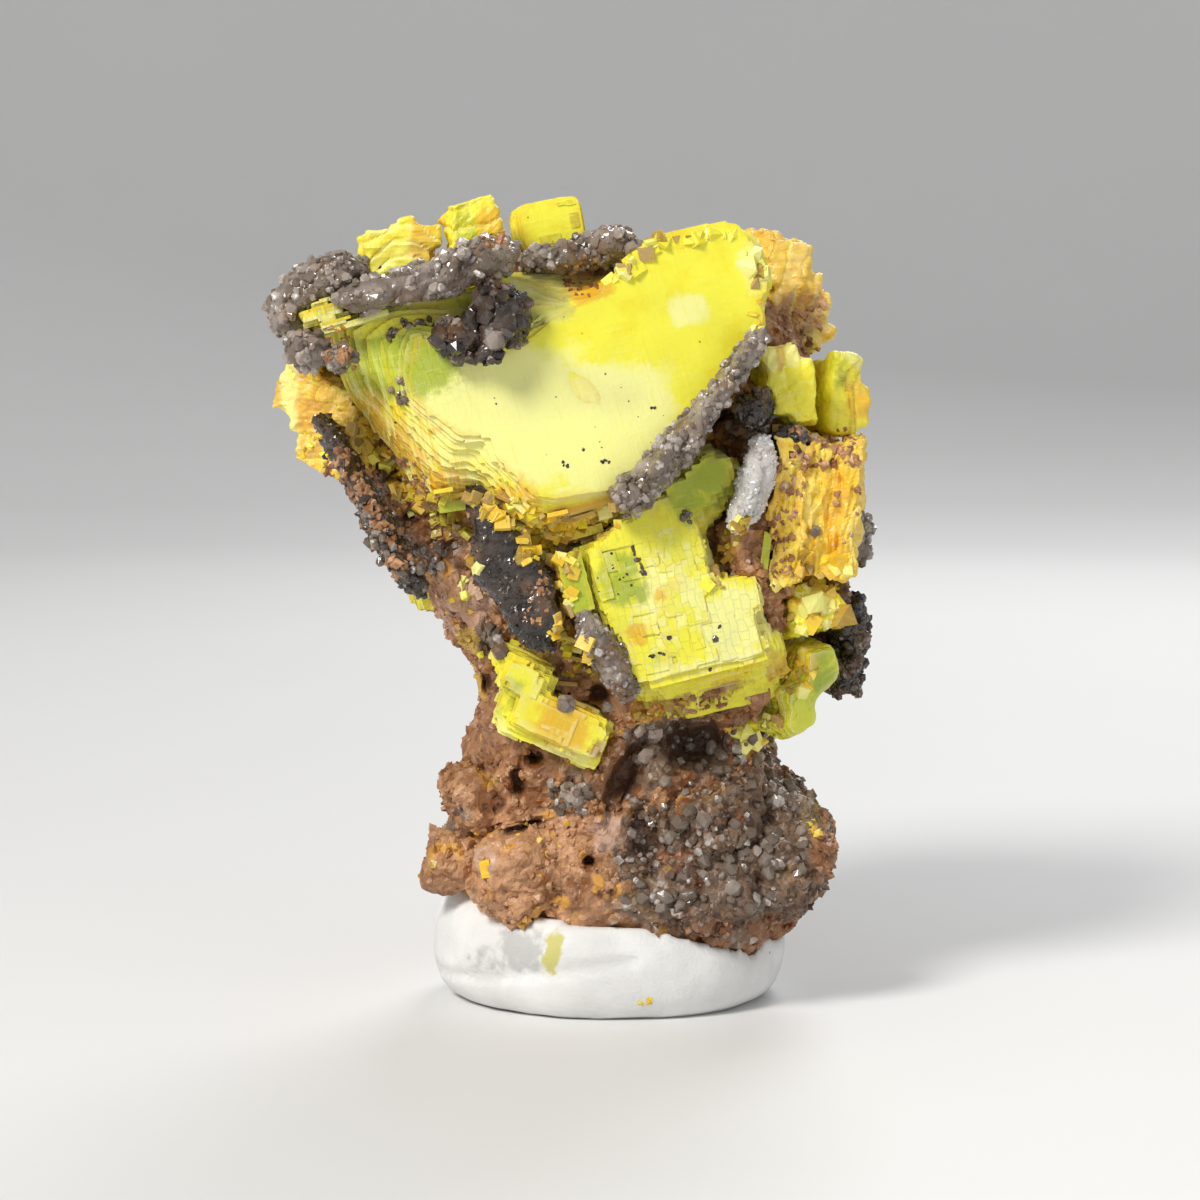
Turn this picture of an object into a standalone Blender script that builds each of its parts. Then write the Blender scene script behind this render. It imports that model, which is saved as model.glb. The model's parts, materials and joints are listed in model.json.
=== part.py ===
"""Uranocircite specimen, 20 mm tall: yellow crystal books and quartz on granular rock, stood in white putty.

Everything is shaped and fitted in millimetres, and brought to metres at the end.
The specimen's front faces -Y and Z is up. The origin is on the table, under the middle of the specimen.
"""

import math
import random
import zlib
from collections import namedtuple

import bmesh
import bpy
from mathutils import Matrix, Vector, noise

MM = 0.001

# Clearance between neighbouring pieces, and the rise in which a plate's edge steps in or out.
GAP = 0.1
STEP_RISE = 0.03

# The shortest edge of a crystal's stepped outline, as a share of its step, and how far one plate's edge strays
# from the next one's.
SHORTEST_EDGE = 0.5
PLATE_STRAY = 0.13

# Points of a cut mesh that are nearer than this are one point.
WELD = 0.0015

# Colours are linear RGB.
YELLOW = (0.82, 0.78, 0.06)
LEMON = (0.90, 0.92, 0.22)
GREENISH = (0.52, 0.62, 0.05)
ORANGE = (0.78, 0.50, 0.06)
SMOKY = (0.13, 0.10, 0.08)
DARK_QUARTZ = (0.03, 0.022, 0.018)
PALE_QUARTZ = (0.60, 0.57, 0.55)
ROCK = (0.36, 0.19, 0.10)
PUTTY = (0.80, 0.80, 0.78)

# A crystal book is a stack of thin square plates. Its outline is (across, height) as seen from the side of the
# specimen that it faces: 0 is the front, 90 the right (+X) side, 180 the back.
#   depth          how far its face stands out from the vertical axis, at the middle of the outline
#   swing, lean    how much the face falls back per millimetre to the right, and per millimetre up
#   turn           the angle of its square edges, in degrees
#   spread         how much wider the rearmost plate is than the front one, measured from the point anchor
#   ledges         raised plates on the face: (across, height, width, tall, rise)
Book = namedtuple(
    "Book",
    "outline depth swing lean turn thickness plates step spread anchor faces colour ledges",
    defaults=((),),
)

BOOKS = {
    "main_crystal": Book(
        outline=(
            (-6.0, 16.35), (-5.42, 15.18), (-4.62, 14.09), (-3.8, 12.88), (-3.41, 11.91), (-2.45, 11.48),
            (-0.94, 11.19), (-0.07, 11.84), (0.92, 12.57), (1.96, 13.37), (3.17, 14.82), (4.33, 16.39),
            (4.6, 17.48), (4.6, 18.6), (4.15, 19.1), (2.93, 19.1), (1.72, 18.75), (0.51, 18.3),
            (-0.94, 18.4), (-2.2, 18.0), (-3.6, 17.4), (-5.0, 16.6),
        ),
        depth=4.3, swing=0.18, lean=0.10, turn=16, thickness=1.7, plates=4, step=0.78,
        spread=0.09, anchor=(3.0, 18.0), faces=0, colour=LEMON,
        ledges=(
            (0.2, 15.4, 5.6, 3.2, 0.12), (1.6, 17.4, 3.4, 1.1, 0.22), (3.2, 18.0, 1.3, 1.0, 0.36),
            (0.3, 12.9, 1.5, 0.7, 0.14),
        ),
    ),
    "lower_crystal": Book(
        outline=(
            (0.07, 11.48), (0.92, 12.15), (1.72, 12.76), (2.69, 13.73), (3.46, 14.33), (4.02, 14.09),
            (4.02, 13.12), (3.61, 12.15), (3.7, 11.19), (4.33, 10.58), (4.43, 10.1), (4.87, 9.25),
            (5.3, 8.72), (4.38, 8.1), (3.17, 7.75), (1.96, 7.6), (1.19, 7.92), (0.51, 9.13), (0.15, 10.22),
        ),
        depth=3.7, swing=0.15, lean=0.14, turn=14, thickness=1.8, plates=5, step=0.6,
        spread=0.07, anchor=(1.2, 13.0), faces=0, colour=YELLOW,
        ledges=(
            (0.1, 10.85, 0.75, 1.5, 0.2), (2.6, 9.6, 2.2, 1.3, 0.1), (3.1, 11.2, 1.3, 1.2, 0.14),
        ),
    ),
    "upper_left_crystal": Book(
        outline=(
            (-6.44, 17.0), (-6.08, 17.55), (-5.25, 17.75), (-4.14, 17.5), (-3.85, 17.0), (-3.97, 16.75),
            (-4.82, 16.6), (-5.54, 16.6), (-6.15, 16.5),
        ),
        depth=4.9, swing=0.15, lean=0.15, turn=8, thickness=1.2, plates=3, step=0.4,
        spread=0.05, anchor=(-5.0, 17.5), faces=0, colour=GREENISH,
    ),
    "left_edge_crystal": Book(
        outline=(
            (-6.92, 15.9), (-6.5, 16.25), (-6.1, 16.2), (-5.7, 15.5), (-5.5, 14.85), (-5.35, 14.0),
            (-5.6, 13.3), (-6.15, 13.4), (-6.6, 14.0), (-6.92, 14.7),
        ),
        depth=2.9, swing=-0.5, lean=0.1, turn=-20, thickness=1.6, plates=4, step=0.55,
        spread=0.08, anchor=(-5.6, 15.5), faces=0, colour=ORANGE,
    ),
    "top_left_crystal": Book(
        outline=(
            (-4.99, 18.45), (-4.77, 19.0), (-4.29, 19.25), (-3.8, 19.32), (-3.3, 19.1), (-3.1, 18.7),
            (-3.3, 18.3), (-3.85, 18.0), (-4.6, 17.9),
        ),
        depth=3.4, swing=0.1, lean=0.1, turn=5, thickness=1.3, plates=3, step=0.4,
        spread=0.04, anchor=(-4.0, 19.0), faces=0, colour=YELLOW,
    ),
    "top_middle_crystal": Book(
        outline=(
            (-3.0, 18.45), (-3.05, 18.9), (-2.76, 19.5), (-2.28, 19.85), (-1.72, 19.95), (-1.6, 19.0),
            (-2.03, 18.65), (-2.6, 18.35),
        ),
        depth=3.2, swing=0.2, lean=0.1, turn=18, thickness=1.4, plates=3, step=0.4,
        spread=0.05, anchor=(-2.2, 19.5), faces=0, colour=YELLOW,
    ),
    "top_right_crystal": Book(
        outline=((-1.42, 19.6), (-0.94, 19.75), (0.05, 19.8), (0.41, 18.75), (-0.58, 18.4), (-1.36, 18.5)),
        depth=1.9, swing=0.1, lean=0.1, turn=10, thickness=1.3, plates=3, step=0.6,
        spread=0.04, anchor=(-0.5, 19.5), faces=0, colour=LEMON,
    ),
    "back_right_crystal": Book(
        outline=((4.3, 19.1), (5.1, 19.05), (5.9, 18.4), (6.3, 17.5), (6.45, 16.6), (5.8, 16.1), (4.6, 16.3)),
        depth=-0.3, swing=0.3, lean=0.1, turn=-12, thickness=2.1, plates=4, step=0.5,
        spread=0.05, anchor=(5.2, 17.4), faces=0, colour=ORANGE,
    ),
    "right_crystal": Book(
        outline=((4.5, 16.1), (5.35, 16.35), (5.85, 16.1), (5.95, 15.05), (5.8, 14.5), (5.2, 14.4), (4.5, 14.7)),
        depth=2.6, swing=0.2, lean=0.15, turn=8, thickness=1.7, plates=3, step=0.45,
        spread=0.06, anchor=(5.2, 16.0), faces=0, colour=YELLOW,
    ),
    "far_right_crystal": Book(
        outline=((6.12, 16.05), (6.5, 16.3), (7.05, 15.9), (7.26, 15.2), (7.1, 14.5), (6.6, 14.1), (6.15, 14.2)),
        depth=1.1, swing=0.5, lean=0.1, turn=-6, thickness=2.4, plates=4, step=0.45,
        spread=0.05, anchor=(6.6, 15.5), faces=0, colour=YELLOW,
    ),
    "right_foliated_crystal": Book(
        outline=((-2.0, 11.0), (0.9, 10.9), (1.5, 12.0), (1.4, 13.4), (0.6, 14.2), (-1.3, 13.9), (-2.1, 12.8)),
        depth=7.05, swing=0.05, lean=-0.05, turn=4, thickness=2.1, plates=5, step=0.9,
        spread=0.10, anchor=(0.0, 12.5), faces=82, colour=ORANGE,
    ),
    "right_side_crystal": Book(
        outline=((5.2, 10.2), (5.3, 11.1), (5.9, 11.5), (6.4, 11.1), (6.65, 10.3), (6.56, 9.7), (5.96, 9.4), (5.3, 9.6)),
        depth=2.3, swing=0.3, lean=0.1, turn=12, thickness=1.9, plates=3, step=0.4,
        spread=0.06, anchor=(5.9, 10.2), faces=0, colour=YELLOW,
    ),
    "lower_right_blades": Book(
        outline=(
            (2.7, 8.2), (3.4, 9.1), (4.2, 9.5), (4.75, 9.0), (4.8, 7.9), (4.3, 7.1), (3.5, 6.8), (2.75, 7.1),
        ),
        depth=4.75, swing=0.1, lean=-0.12, turn=28, thickness=1.9, plates=5, step=0.5,
        spread=0.08, anchor=(3.3, 8.6), faces=32, colour=GREENISH,
    ),
    "underside_crystal": Book(
        outline=((3.6, 7.0), (4.2, 7.1), (5.0, 6.75), (4.8, 6.35), (4.1, 6.3), (3.65, 6.5)),
        depth=1.9, swing=0.1, lean=-0.2, turn=0, thickness=1.3, plates=3, step=0.4,
        spread=0.04, anchor=(4.3, 6.9), faces=0, colour=ORANGE,
    ),
    "lower_left_crystal": Book(
        outline=(
            (-2.03, 8.75), (-1.2, 8.9), (-0.46, 8.55), (-0.27, 8.0), (0.5, 7.4), (0.9, 6.8), (0.15, 6.3),
            (-0.5, 6.2), (-1.24, 6.7), (-1.67, 7.5),
        ),
        depth=3.5, swing=0.08, lean=-0.06, turn=-24, thickness=1.3, plates=3, step=0.5,
        spread=0.08, anchor=(-0.6, 8.2), faces=0, colour=YELLOW,
    ),
    "rear_upper_crystal": Book(
        outline=((-1.9, 15.2), (-1.2, 16.9), (0.3, 17.4), (1.6, 16.7), (2.1, 15.2), (1.2, 14.0), (-0.8, 13.9)),
        depth=5.08, swing=-0.1, lean=0.05, turn=11, thickness=1.6, plates=3, step=0.6,
        spread=0.07, anchor=(0.2, 16.5), faces=172, colour=YELLOW,
    ),
    "rear_lower_crystal": Book(
        outline=((1.7, 10.4), (2.4, 11.7), (3.9, 11.9), (4.4, 10.8), (3.7, 9.5), (2.4, 9.3)),
        depth=4.1, swing=0.2, lean=-0.1, turn=-14, thickness=1.5, plates=3, step=0.55,
        spread=0.07, anchor=(3.0, 11.4), faces=190, colour=GREENISH,
    ),
}

# A quartz vein or crust is a knobbly ridge along the points (x, y, z), with its half-width at each point. It is
# proud of what carries it by its half-depth.
Ridge = namedtuple("Ridge", "path half_widths half_depth colour")

RIDGES = {
    "diagonal_quartz_vein": Ridge(
        path=((4.4, -3.45, 16.6), (3.53, -3.75, 15.4), (2.57, -4.0, 14.2), (1.72, -4.2, 13.15), (0.95, -4.35, 12.65)),
        half_widths=(0.22, 0.28, 0.36, 0.45, 0.38), half_depth=0.75, colour=SMOKY,
    ),
    "top_quartz_ridge": Ridge(
        path=((-5.4, -4.8, 17.35), (-4.1, -4.7, 17.6), (-3.1, -4.4, 17.95), (-2.2, -4.2, 18.3), (-1.4, -3.9, 18.55)),
        half_widths=(0.26, 0.34, 0.4, 0.52, 0.46), half_depth=0.75, colour=SMOKY,
    ),
    "left_quartz_ridge": Ridge(
        path=((-6.95, -3.7, 16.75), (-6.5, -3.9, 17.35), (-5.7, -3.8, 17.85), (-4.95, -3.7, 18.15)),
        half_widths=(0.38, 0.55, 0.5, 0.36), half_depth=0.95, colour=SMOKY,
    ),
    "back_top_quartz": Ridge(
        path=((-1.3, -2.6, 18.3), (-0.2, -2.6, 18.35), (0.75, -2.3, 18.6), (1.5, -2.0, 18.6)),
        half_widths=(0.28, 0.36, 0.4, 0.3), half_depth=0.6, colour=SMOKY,
    ),
    "lower_quartz_vein": Ridge(
        path=((0.2, -4.2, 10.0), (0.6, -4.2, 9.3), (1.0, -4.0, 8.7), (1.35, -3.8, 8.1)),
        half_widths=(0.25, 0.4, 0.42, 0.3), half_depth=0.6, colour=SMOKY,
    ),
    "left_quartz_sheet": Ridge(
        path=((-6.0, -3.7, 14.6), (-5.25, -3.9, 13.37), (-4.46, -3.9, 11.91), (-3.65, -3.5, 10.5)),
        half_widths=(0.18, 0.24, 0.3, 0.26), half_depth=0.9, colour=DARK_QUARTZ,
    ),
    "sparkling_druse": Ridge(
        path=((4.45, -3.1, 14.05), (4.4, -3.3, 13.3), (4.1, -3.4, 12.6), (3.75, -3.5, 11.9)),
        half_widths=(0.4, 0.4, 0.32, 0.2), half_depth=0.6, colour=PALE_QUARTZ,
    ),
    "rear_quartz_vein": Ridge(
        path=((-4.6, 3.4, 16.9), (-3.5, 4.1, 15.0), (-2.3, 4.25, 12.9), (-0.9, 3.7, 10.6)),
        half_widths=(0.3, 0.5, 0.55, 0.3), half_depth=0.7, colour=SMOKY,
    ),
}

RIDGE_SIDES = 7
RIDGE_SPACING = 0.52

# The dark slab of quartz is a plate with worn edges. Its outline is as seen from the front.
SLAB_OUTLINE = (
    (-2.5, 13.0), (-2.15, 12.95), (-1.86, 12.5), (-1.2, 11.85), (-0.58, 10.8), (-0.35, 9.75), (-0.5, 9.15),
    (-1.07, 9.25), (-1.55, 9.8), (-1.86, 10.4), (-2.35, 10.9), (-2.3, 11.9),
)
SLAB_FACE_Y = -4.45
SLAB_THICKNESS = 1.3

# The facets of a block follow one another by the golden angle, and each strays a little from its place.
GOLDEN_ANGLE = math.pi * (3 - math.sqrt(5))
FACET_STRAY = 0.16

# A quartz crystal group is blocks with flat facets, grown together: each block's centre, radii and number of
# facets, and the group's colour.
Lump = namedtuple("Lump", "blocks colour")

LUMPS = {
    "dark_quartz_group": Lump(
        (
            ((-1.7, -4.65, 16.95), (0.62, 0.6, 0.72), 21), ((-2.65, -4.75, 16.5), (0.5, 0.5, 0.42), 15),
            ((-1.95, -5.0, 16.2), (0.26, 0.24, 0.26), 12),
        ), DARK_QUARTZ,
    ),
    "left_quartz_group": Lump(
        (((-6.15, -5.1, 16.25), (0.5, 0.45, 0.42), 16), ((-5.45, -5.2, 16.05), (0.3, 0.35, 0.28), 12)), SMOKY,
    ),
    "upper_vug_quartz": Lump((((4.25, -2.9, 14.75), (0.42, 0.6, 0.42), 15),), DARK_QUARTZ),
    "lower_vug_quartz": Lump((((5.1, -2.6, 13.8), (0.42, 0.55, 0.5), 16),), DARK_QUARTZ),
    "far_right_quartz": Lump((((6.75, -0.6, 11.5), (0.5, 0.7, 0.65), 17),), SMOKY),
    "right_base_quartz": Lump(
        (((6.75, -0.5, 9.4), (0.5, 0.8, 0.75), 16), ((6.6, -0.4, 8.3), (0.45, 0.8, 0.75), 15)), DARK_QUARTZ,
    ),
}

# The rock's outline at each height: height, left, right, front, back.
ROCK_LEVELS = (
    (0.85, -0.6, 3.9, -1.7, 2.2),
    (1.2, -1.5, 4.7, -2.3, 2.8),
    (2.0, -2.2, 5.3, -2.7, 3.2),
    (3.0, -2.8, 6.0, -2.9, 3.4),
    (4.0, -2.95, 6.25, -2.8, 3.4),
    (5.0, -2.6, 5.4, -2.7, 3.1),
    (5.95, -2.4, 4.7, -2.6, 2.9),
    (7.0, -2.4, 4.5, -2.6, 2.8),
    (8.0, -2.3, 5.7, -2.6, 2.9),
    (9.0, -2.5, 6.4, -2.8, 3.1),
    (10.0, -3.4, 6.5, -3.0, 3.5),
    (11.0, -4.1, 6.5, -3.1, 3.8),
    (12.0, -4.7, 6.3, -3.2, 4.0),
    (13.0, -5.3, 6.1, -3.2, 4.1),
    (14.0, -5.7, 6.0, -3.2, 4.1),
    (15.0, -5.8, 5.7, -3.2, 4.0),
    (16.0, -5.8, 5.5, -3.2, 3.8),
    (17.0, -5.4, 5.1, -3.1, 3.5),
    (17.8, -4.4, 4.6, -2.9, 3.0),
    (18.3, -3.2, 3.9, -2.6, 2.3),
)
ROCK_LEVEL_SPACING = 1.05
ROCK_COLUMNS = 22
ROCK_GRAIN = 0.55

# Angular blocks that are grown into the rock: centre, radii and facets.
ROCK_BLOCKS = (
    ((-2.9, -1.2, 3.7), (0.75, 0.9, 0.7), 14),
    ((-2.6, -1.5, 5.2), (0.6, 0.8, 0.8), 12),
    ((-1.3, -2.3, 3.4), (1.2, 0.9, 1.1), 16),
    ((0.6, -2.2, 5.0), (0.8, 0.8, 0.7), 14),
    ((3.3, -2.2, 4.6), (1.1, 0.9, 1.0), 16),
    ((4.9, -1.4, 3.4), (1.3, 1.2, 1.2), 16),
    ((2.6, -2.4, 2.7), (1.0, 0.8, 0.8), 15),
    ((-2.5, -1.8, 10.6), (0.8, 1.1, 0.9), 15),
    ((-3.6, -1.6, 12.0), (1.0, 1.1, 1.0), 15),
    ((-1.9, -1.9, 9.2), (0.7, 0.9, 0.8), 14),
    ((5.4, 0.4, 12.6), (1.1, 1.5, 1.7), 16),
    ((-4.3, 1.6, 15.0), (1.4, 1.5, 1.6), 17),
    ((3.2, 2.0, 16.3), (1.7, 1.5, 1.5), 21),
    ((-1.2, 2.1, 9.0), (1.3, 1.2, 1.4), 14),
    ((1.2, 2.3, 3.9), (1.9, 1.3, 1.3), 15),
    ((-1.2, 1.2, 17.2), (1.7, 1.4, 1.0), 21),
    ((-5.1, -3.1, 14.0), (0.8, 1.0, 1.0), 14),
    ((-5.0, -2.3, 17.0), (1.6, 1.4, 1.05), 16),
)

# Knobs and hollows of the rock: the place, how wide, and how far out, or in when negative.
ROCK_KNOBS = (
    ((-3.1, -1.0, 4.1), 0.9, 0.75),
    ((-3.0, -1.4, 5.3), 0.7, 0.35),
    ((5.9, -1.0, 4.2), 1.1, 0.35),
    ((-0.8, -2.6, 3.2), 1.2, 0.30),
    ((3.6, -2.6, 3.6), 1.3, 0.35),
    ((1.9, -3.0, 5.2), 0.55, -0.80),
    ((1.9, -3.0, 4.1), 0.5, -0.65),
    ((2.9, -2.7, 6.8), 0.8, -0.80),
    ((-1.6, -2.9, 4.6), 0.6, -0.30),
    ((5.0, -2.4, 12.2), 0.8, -0.35),
    ((-4.4, -2.7, 12.7), 1.1, 0.6),
    ((-2.9, -2.6, 10.3), 0.8, 0.45),
    ((2.0, 4.2, 13.0), 1.3, -0.60),
    ((-1.5, 3.0, 6.5), 1.2, 0.45),
    ((4.5, 2.6, 5.0), 1.1, 0.45),
)

# The putty: its middle on the table, half-sizes, and height. Each profile row is (height share, size share).
PUTTY_MIDDLE = (0.9, 0.25)
PUTTY_HALF_SIZES = (4.45, 3.75)
PUTTY_HEIGHT = 3.0
PUTTY_PROFILE = (
    (0.0, 0.84), (0.06, 0.92), (0.18, 0.975), (0.36, 1.0), (0.55, 0.99), (0.75, 0.93), (0.9, 0.8), (1.0, 0.55),
)
PUTTY_COLUMNS = 26


def new_material(name, colour, roughness):
    """A Principled material of its own for one piece."""
    material = bpy.data.materials.new(name)
    material.use_nodes = True
    shader = material.node_tree.nodes["Principled BSDF"]
    shader.inputs["Base Color"].default_value = (*colour, 1.0)
    shader.inputs["Roughness"].default_value = roughness
    shader.inputs["Metallic"].default_value = 0.0
    return material


def random_of(name):
    """The piece's own random numbers, the same in every run."""
    return random.Random(zlib.crc32(name.encode()))


def mend(mesh):
    """Make a cut mesh's faces flat triangles, and close the slits that rounding leaves."""
    bm = bmesh.new()
    bm.from_mesh(mesh)
    bmesh.ops.triangulate(bm, faces=bm.faces)
    bmesh.ops.remove_doubles(bm, verts=bm.verts, dist=WELD)
    bmesh.ops.dissolve_degenerate(bm, edges=bm.edges, dist=WELD)
    bmesh.ops.delete(bm, geom=[edge for edge in bm.edges if not edge.link_faces], context="EDGES")
    bmesh.ops.holes_fill(bm, edges=[edge for edge in bm.edges if edge.is_boundary])
    bmesh.ops.triangulate(bm, faces=bm.faces)
    bm.to_mesh(mesh)
    bm.free()


def join_or_cut(body, others, operation):
    """Combine a piece with other closed shapes: UNION joins them to it, DIFFERENCE cuts them from it."""
    for other in others:
        combine = body.modifiers.new("combine", "BOOLEAN")
        combine.operation = operation
        combine.solver = "EXACT"
        combine.object = other
        bpy.context.view_layer.update()
        graph = bpy.context.evaluated_depsgraph_get()
        body.data = bpy.data.meshes.new_from_object(body.evaluated_get(graph))
        body.modifiers.clear()
        mend(body.data)


def fuse(body, extras):
    """Grow extra shapes together with a piece into one solid."""
    join_or_cut(body, extras, "UNION")
    for extra in extras:
        bpy.data.objects.remove(extra, do_unlink=True)


def object_of(name, bm, place=Matrix.Identity(4)):
    """Turn a mesh into an object at this place."""
    mesh = bpy.data.meshes.new(name)
    bm.to_mesh(mesh)
    bm.free()
    body = bpy.data.objects.new(name, mesh)
    bpy.context.scene.collection.objects.link(body)
    body.matrix_world = place
    return body


def closed_stack(rings, domed=False):
    """A closed mesh through rings of equal count, each counter-clockwise as seen from the last one's side."""
    bm = bmesh.new()
    rows = [[bm.verts.new(point) for point in ring] for ring in rings]
    count = len(rows[0])
    for low, high in zip(rows, rows[1:]):
        for i in range(count):
            j = (i + 1) % count
            bm.faces.new((low[i], low[j], high[j], high[i]))
    if domed:
        for row, step in ((rows[0], -1), (rows[-1], 1)):
            hub = bm.verts.new(sum((vert.co for vert in row), Vector()) / count)
            for i in range(count):
                bm.faces.new((hub, row[i], row[(i + step) % count]))
    else:
        bm.faces.new(rows[0][::-1])
        bm.faces.new(rows[-1])
    return bm


def signed_area(points):
    """Positive where the outline runs counter-clockwise."""
    ahead = points[1:] + points[:1]
    return sum(a[0] * b[1] - b[0] * a[1] for a, b in zip(points, ahead)) / 2


def stepped_lines(points, step, rng):
    """Replace an outline's edges by steps along u and v: the lines as [axis, level], where axis 0 runs along u."""
    lines = []
    u, v = points[0]
    for start, end in zip(points, points[1:] + points[:1]):
        du, dv = end[0] - start[0], end[1] - start[1]
        count = max(1, math.ceil(min(abs(du), abs(dv)) / step))
        order = (0, 1) if rng.random() < 0.5 else (1, 0)
        for axis in order * count:
            if not lines or lines[-1][0] != axis:
                lines.append([axis, v if axis == 0 else u])
            if axis == 0:
                u += du / count
            else:
                v += dv / count
    if lines[-1][0] == lines[0][0]:
        lines.pop()
    return without_short_edges(lines, SHORTEST_EDGE * step)


def without_short_edges(lines, shortest):
    """Join the two neighbours of each edge that is shorter than the shortest allowed."""
    while len(lines) > 4:
        count = len(lines)
        lengths = [abs(lines[(i + 1) % count][1] - lines[i - 1][1]) for i in range(count)]
        short = min(range(count), key=lengths.__getitem__)
        if lengths[short] >= shortest:
            break
        before, after = lines[short - 1], lines[(short + 1) % count]
        before[1] = (before[1] + after[1]) / 2
        lines = [line for line in lines if line is not lines[short] and line is not after]
    return lines


def corners_of(lines):
    """The corners where each line meets the next."""
    corners = []
    for (axis, level), (_, level_ahead) in zip(lines, lines[1:] + lines[:1]):
        corners.append((level_ahead, level) if axis == 0 else (level, level_ahead))
    return corners


def outward_signs(lines):
    """For each line of a counter-clockwise outline, whether outward is up (+1) or down (-1) its level."""
    signs = []
    for i, (axis, _) in enumerate(lines):
        forward = lines[(i + 1) % len(lines)][1] > lines[i - 1][1]
        signs.append(1 if forward == (axis == 1) else -1)
    return signs


def plate_levels(book, lines, anchor, rng):
    """Each plate's own levels, rear plate first: spread out from the anchor, with a little stray."""
    count = len(lines)
    reach = []
    for i in range(count):
        before = abs(lines[i][1] - lines[i - 2][1])
        after = abs(lines[(i + 2) % count][1] - lines[i][1])
        reach.append(min(PLATE_STRAY, 0.3 * before, 0.3 * after))
    plates = []
    for k in range(book.plates):
        size = 1 + book.spread * (1 - k / max(1, book.plates - 1))
        levels = []
        for (axis, level), most in zip(lines, reach):
            middle = anchor[1] if axis == 0 else anchor[0]
            levels.append(middle + (level - middle) * size + rng.uniform(-most, most))
        plates.append(levels)
    return plates


def book_place(book):
    """The face's frame: u and v along the crystal's square edges, w out of the face."""
    xs, zs = zip(*book.outline)
    across, height = (min(xs) + max(xs)) / 2, (min(zs) + max(zs)) / 2
    out = Vector((book.swing, -1, book.lean)).normalized()
    right = Vector((1, 0, 0))
    right = (right - right.project(out)).normalized()
    u = Matrix.Rotation(math.radians(book.turn), 3, out) @ right
    v = out.cross(u)
    frame = Matrix((u, v, out)).transposed().to_4x4()
    frame.translation = Vector((across, -book.depth, height))
    return frame


def on_face(book, frame, point):
    """A point seen from the book's side, in the face's (u, v)."""
    rise = book.swing * (point[0] - frame.translation.x) + book.lean * (point[1] - frame.translation.z)
    local = frame.inverted() @ Vector((point[0], rise - book.depth, point[1]))
    return local.x, local.y


def plates_between(levels, axes, low, high):
    """The rings of a plate that runs from one w to another."""
    corners = corners_of(list(zip(axes, levels)))
    return [[(u, v, w) for u, v in corners] for w in (low, high)]


def ledge(book, frame, place, plate):
    """A raised plate on a book's face."""
    across, height, width, tall, rise = plate
    u, v = on_face(book, frame, (across, height))
    root = -0.5 * book.thickness
    bm = bmesh.new()
    bmesh.ops.create_cube(bm, size=1.0)
    bmesh.ops.scale(bm, vec=(width, tall, rise - root), verts=bm.verts)
    bmesh.ops.translate(bm, vec=(u, v, (rise + root) / 2), verts=bm.verts)
    return object_of("ledge", bm, place)


def make_book(name, book):
    """A crystal book, and the cutter that gives its neighbours their clearance."""
    rng = random_of(name)
    frame = book_place(book)
    points = [on_face(book, frame, point) for point in book.outline]
    if signed_area(points) < 0:
        points.reverse()
    lines = stepped_lines(points, book.step, rng)
    axes = [axis for axis, _ in lines]
    plates = plate_levels(book, lines, on_face(book, frame, book.anchor), rng)

    rings = []
    thickness = book.thickness / book.plates
    for k, levels in enumerate(plates):
        low = k * thickness - book.thickness + (STEP_RISE if k else 0)
        rings += plates_between(levels, axes, low, (k + 1) * thickness - book.thickness)

    signs = outward_signs(lines)
    widest = [sign * max(sign * levels[i] for levels in plates) + sign * GAP for i, sign in enumerate(signs)]
    rise = max([plate[-1] for plate in book.ledges], default=0)
    room = plates_between(widest, axes, -book.thickness - GAP, rise + GAP)

    place = Matrix.Rotation(math.radians(book.faces), 4, "Z") @ frame
    body = object_of(name, closed_stack(rings), place)
    if book.ledges:
        fuse(body, [ledge(book, frame, place, plate) for plate in book.ledges])
    return body, object_of(name + "_room", closed_stack(room), place)


def along(points, share):
    """A smooth curve through the points, at this share of its way."""
    last = len(points) - 1
    i = min(int(share * last), last - 1)
    t = share * last - i
    before, start, end, after = (points[min(max(j, 0), last)] for j in (i - 1, i, i + 1, i + 2))
    return 0.5 * (
        2 * start + (end - before) * t + (2 * before - 5 * start + 4 * end - after) * t**2
        + (3 * start - 3 * end + after - before) * t**3
    )


def ridge_rings(ridge, middle, rng, grow):
    """Sections of a knobbly ridge, each an uneven ring."""
    path = [Vector(point) - middle for point in ridge.path]
    widths = [Vector((width, 0, 0)) for width in ridge.half_widths]
    length = sum((b - a).length for a, b in zip(path, path[1:]))
    stations = max(5, round(length / RIDGE_SPACING))
    rings = []
    for k in range(stations + 1):
        share = k / stations
        centre = along(path, share)
        tangent = (along(path, min(1, share + 0.02)) - along(path, max(0, share - 0.02))).normalized()
        side = tangent.cross(Vector((0, 1, 0))).normalized()
        out = side.cross(tangent)
        taper = 0.55 if k in (0, stations) else 1.0
        if grow:
            centre = centre + tangent * (grow if k == stations else -grow if k == 0 else 0)
        ring = []
        for j in range(RIDGE_SIDES):
            angle = math.tau * j / RIDGE_SIDES
            knob = rng.uniform(0.72, 1.25) * taper
            a = along(widths, share).x * knob + grow
            b = ridge.half_depth * knob + grow
            ring.append(centre + side * (a * math.cos(angle)) + out * (b * math.sin(angle)))
        rings.append(ring)
    return rings


def make_ridge(name, ridge):
    """A quartz ridge and its cutter."""
    middle = Vector(ridge.path[len(ridge.path) // 2])
    pair = []
    for suffix, grow in (("", 0.0), ("_room", GAP)):
        bm = closed_stack(ridge_rings(ridge, middle, random_of(name), grow))
        bmesh.ops.recalc_face_normals(bm, faces=bm.faces)
        pair.append(object_of(name + suffix, bm, Matrix.Translation(middle)))
    return pair


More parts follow.
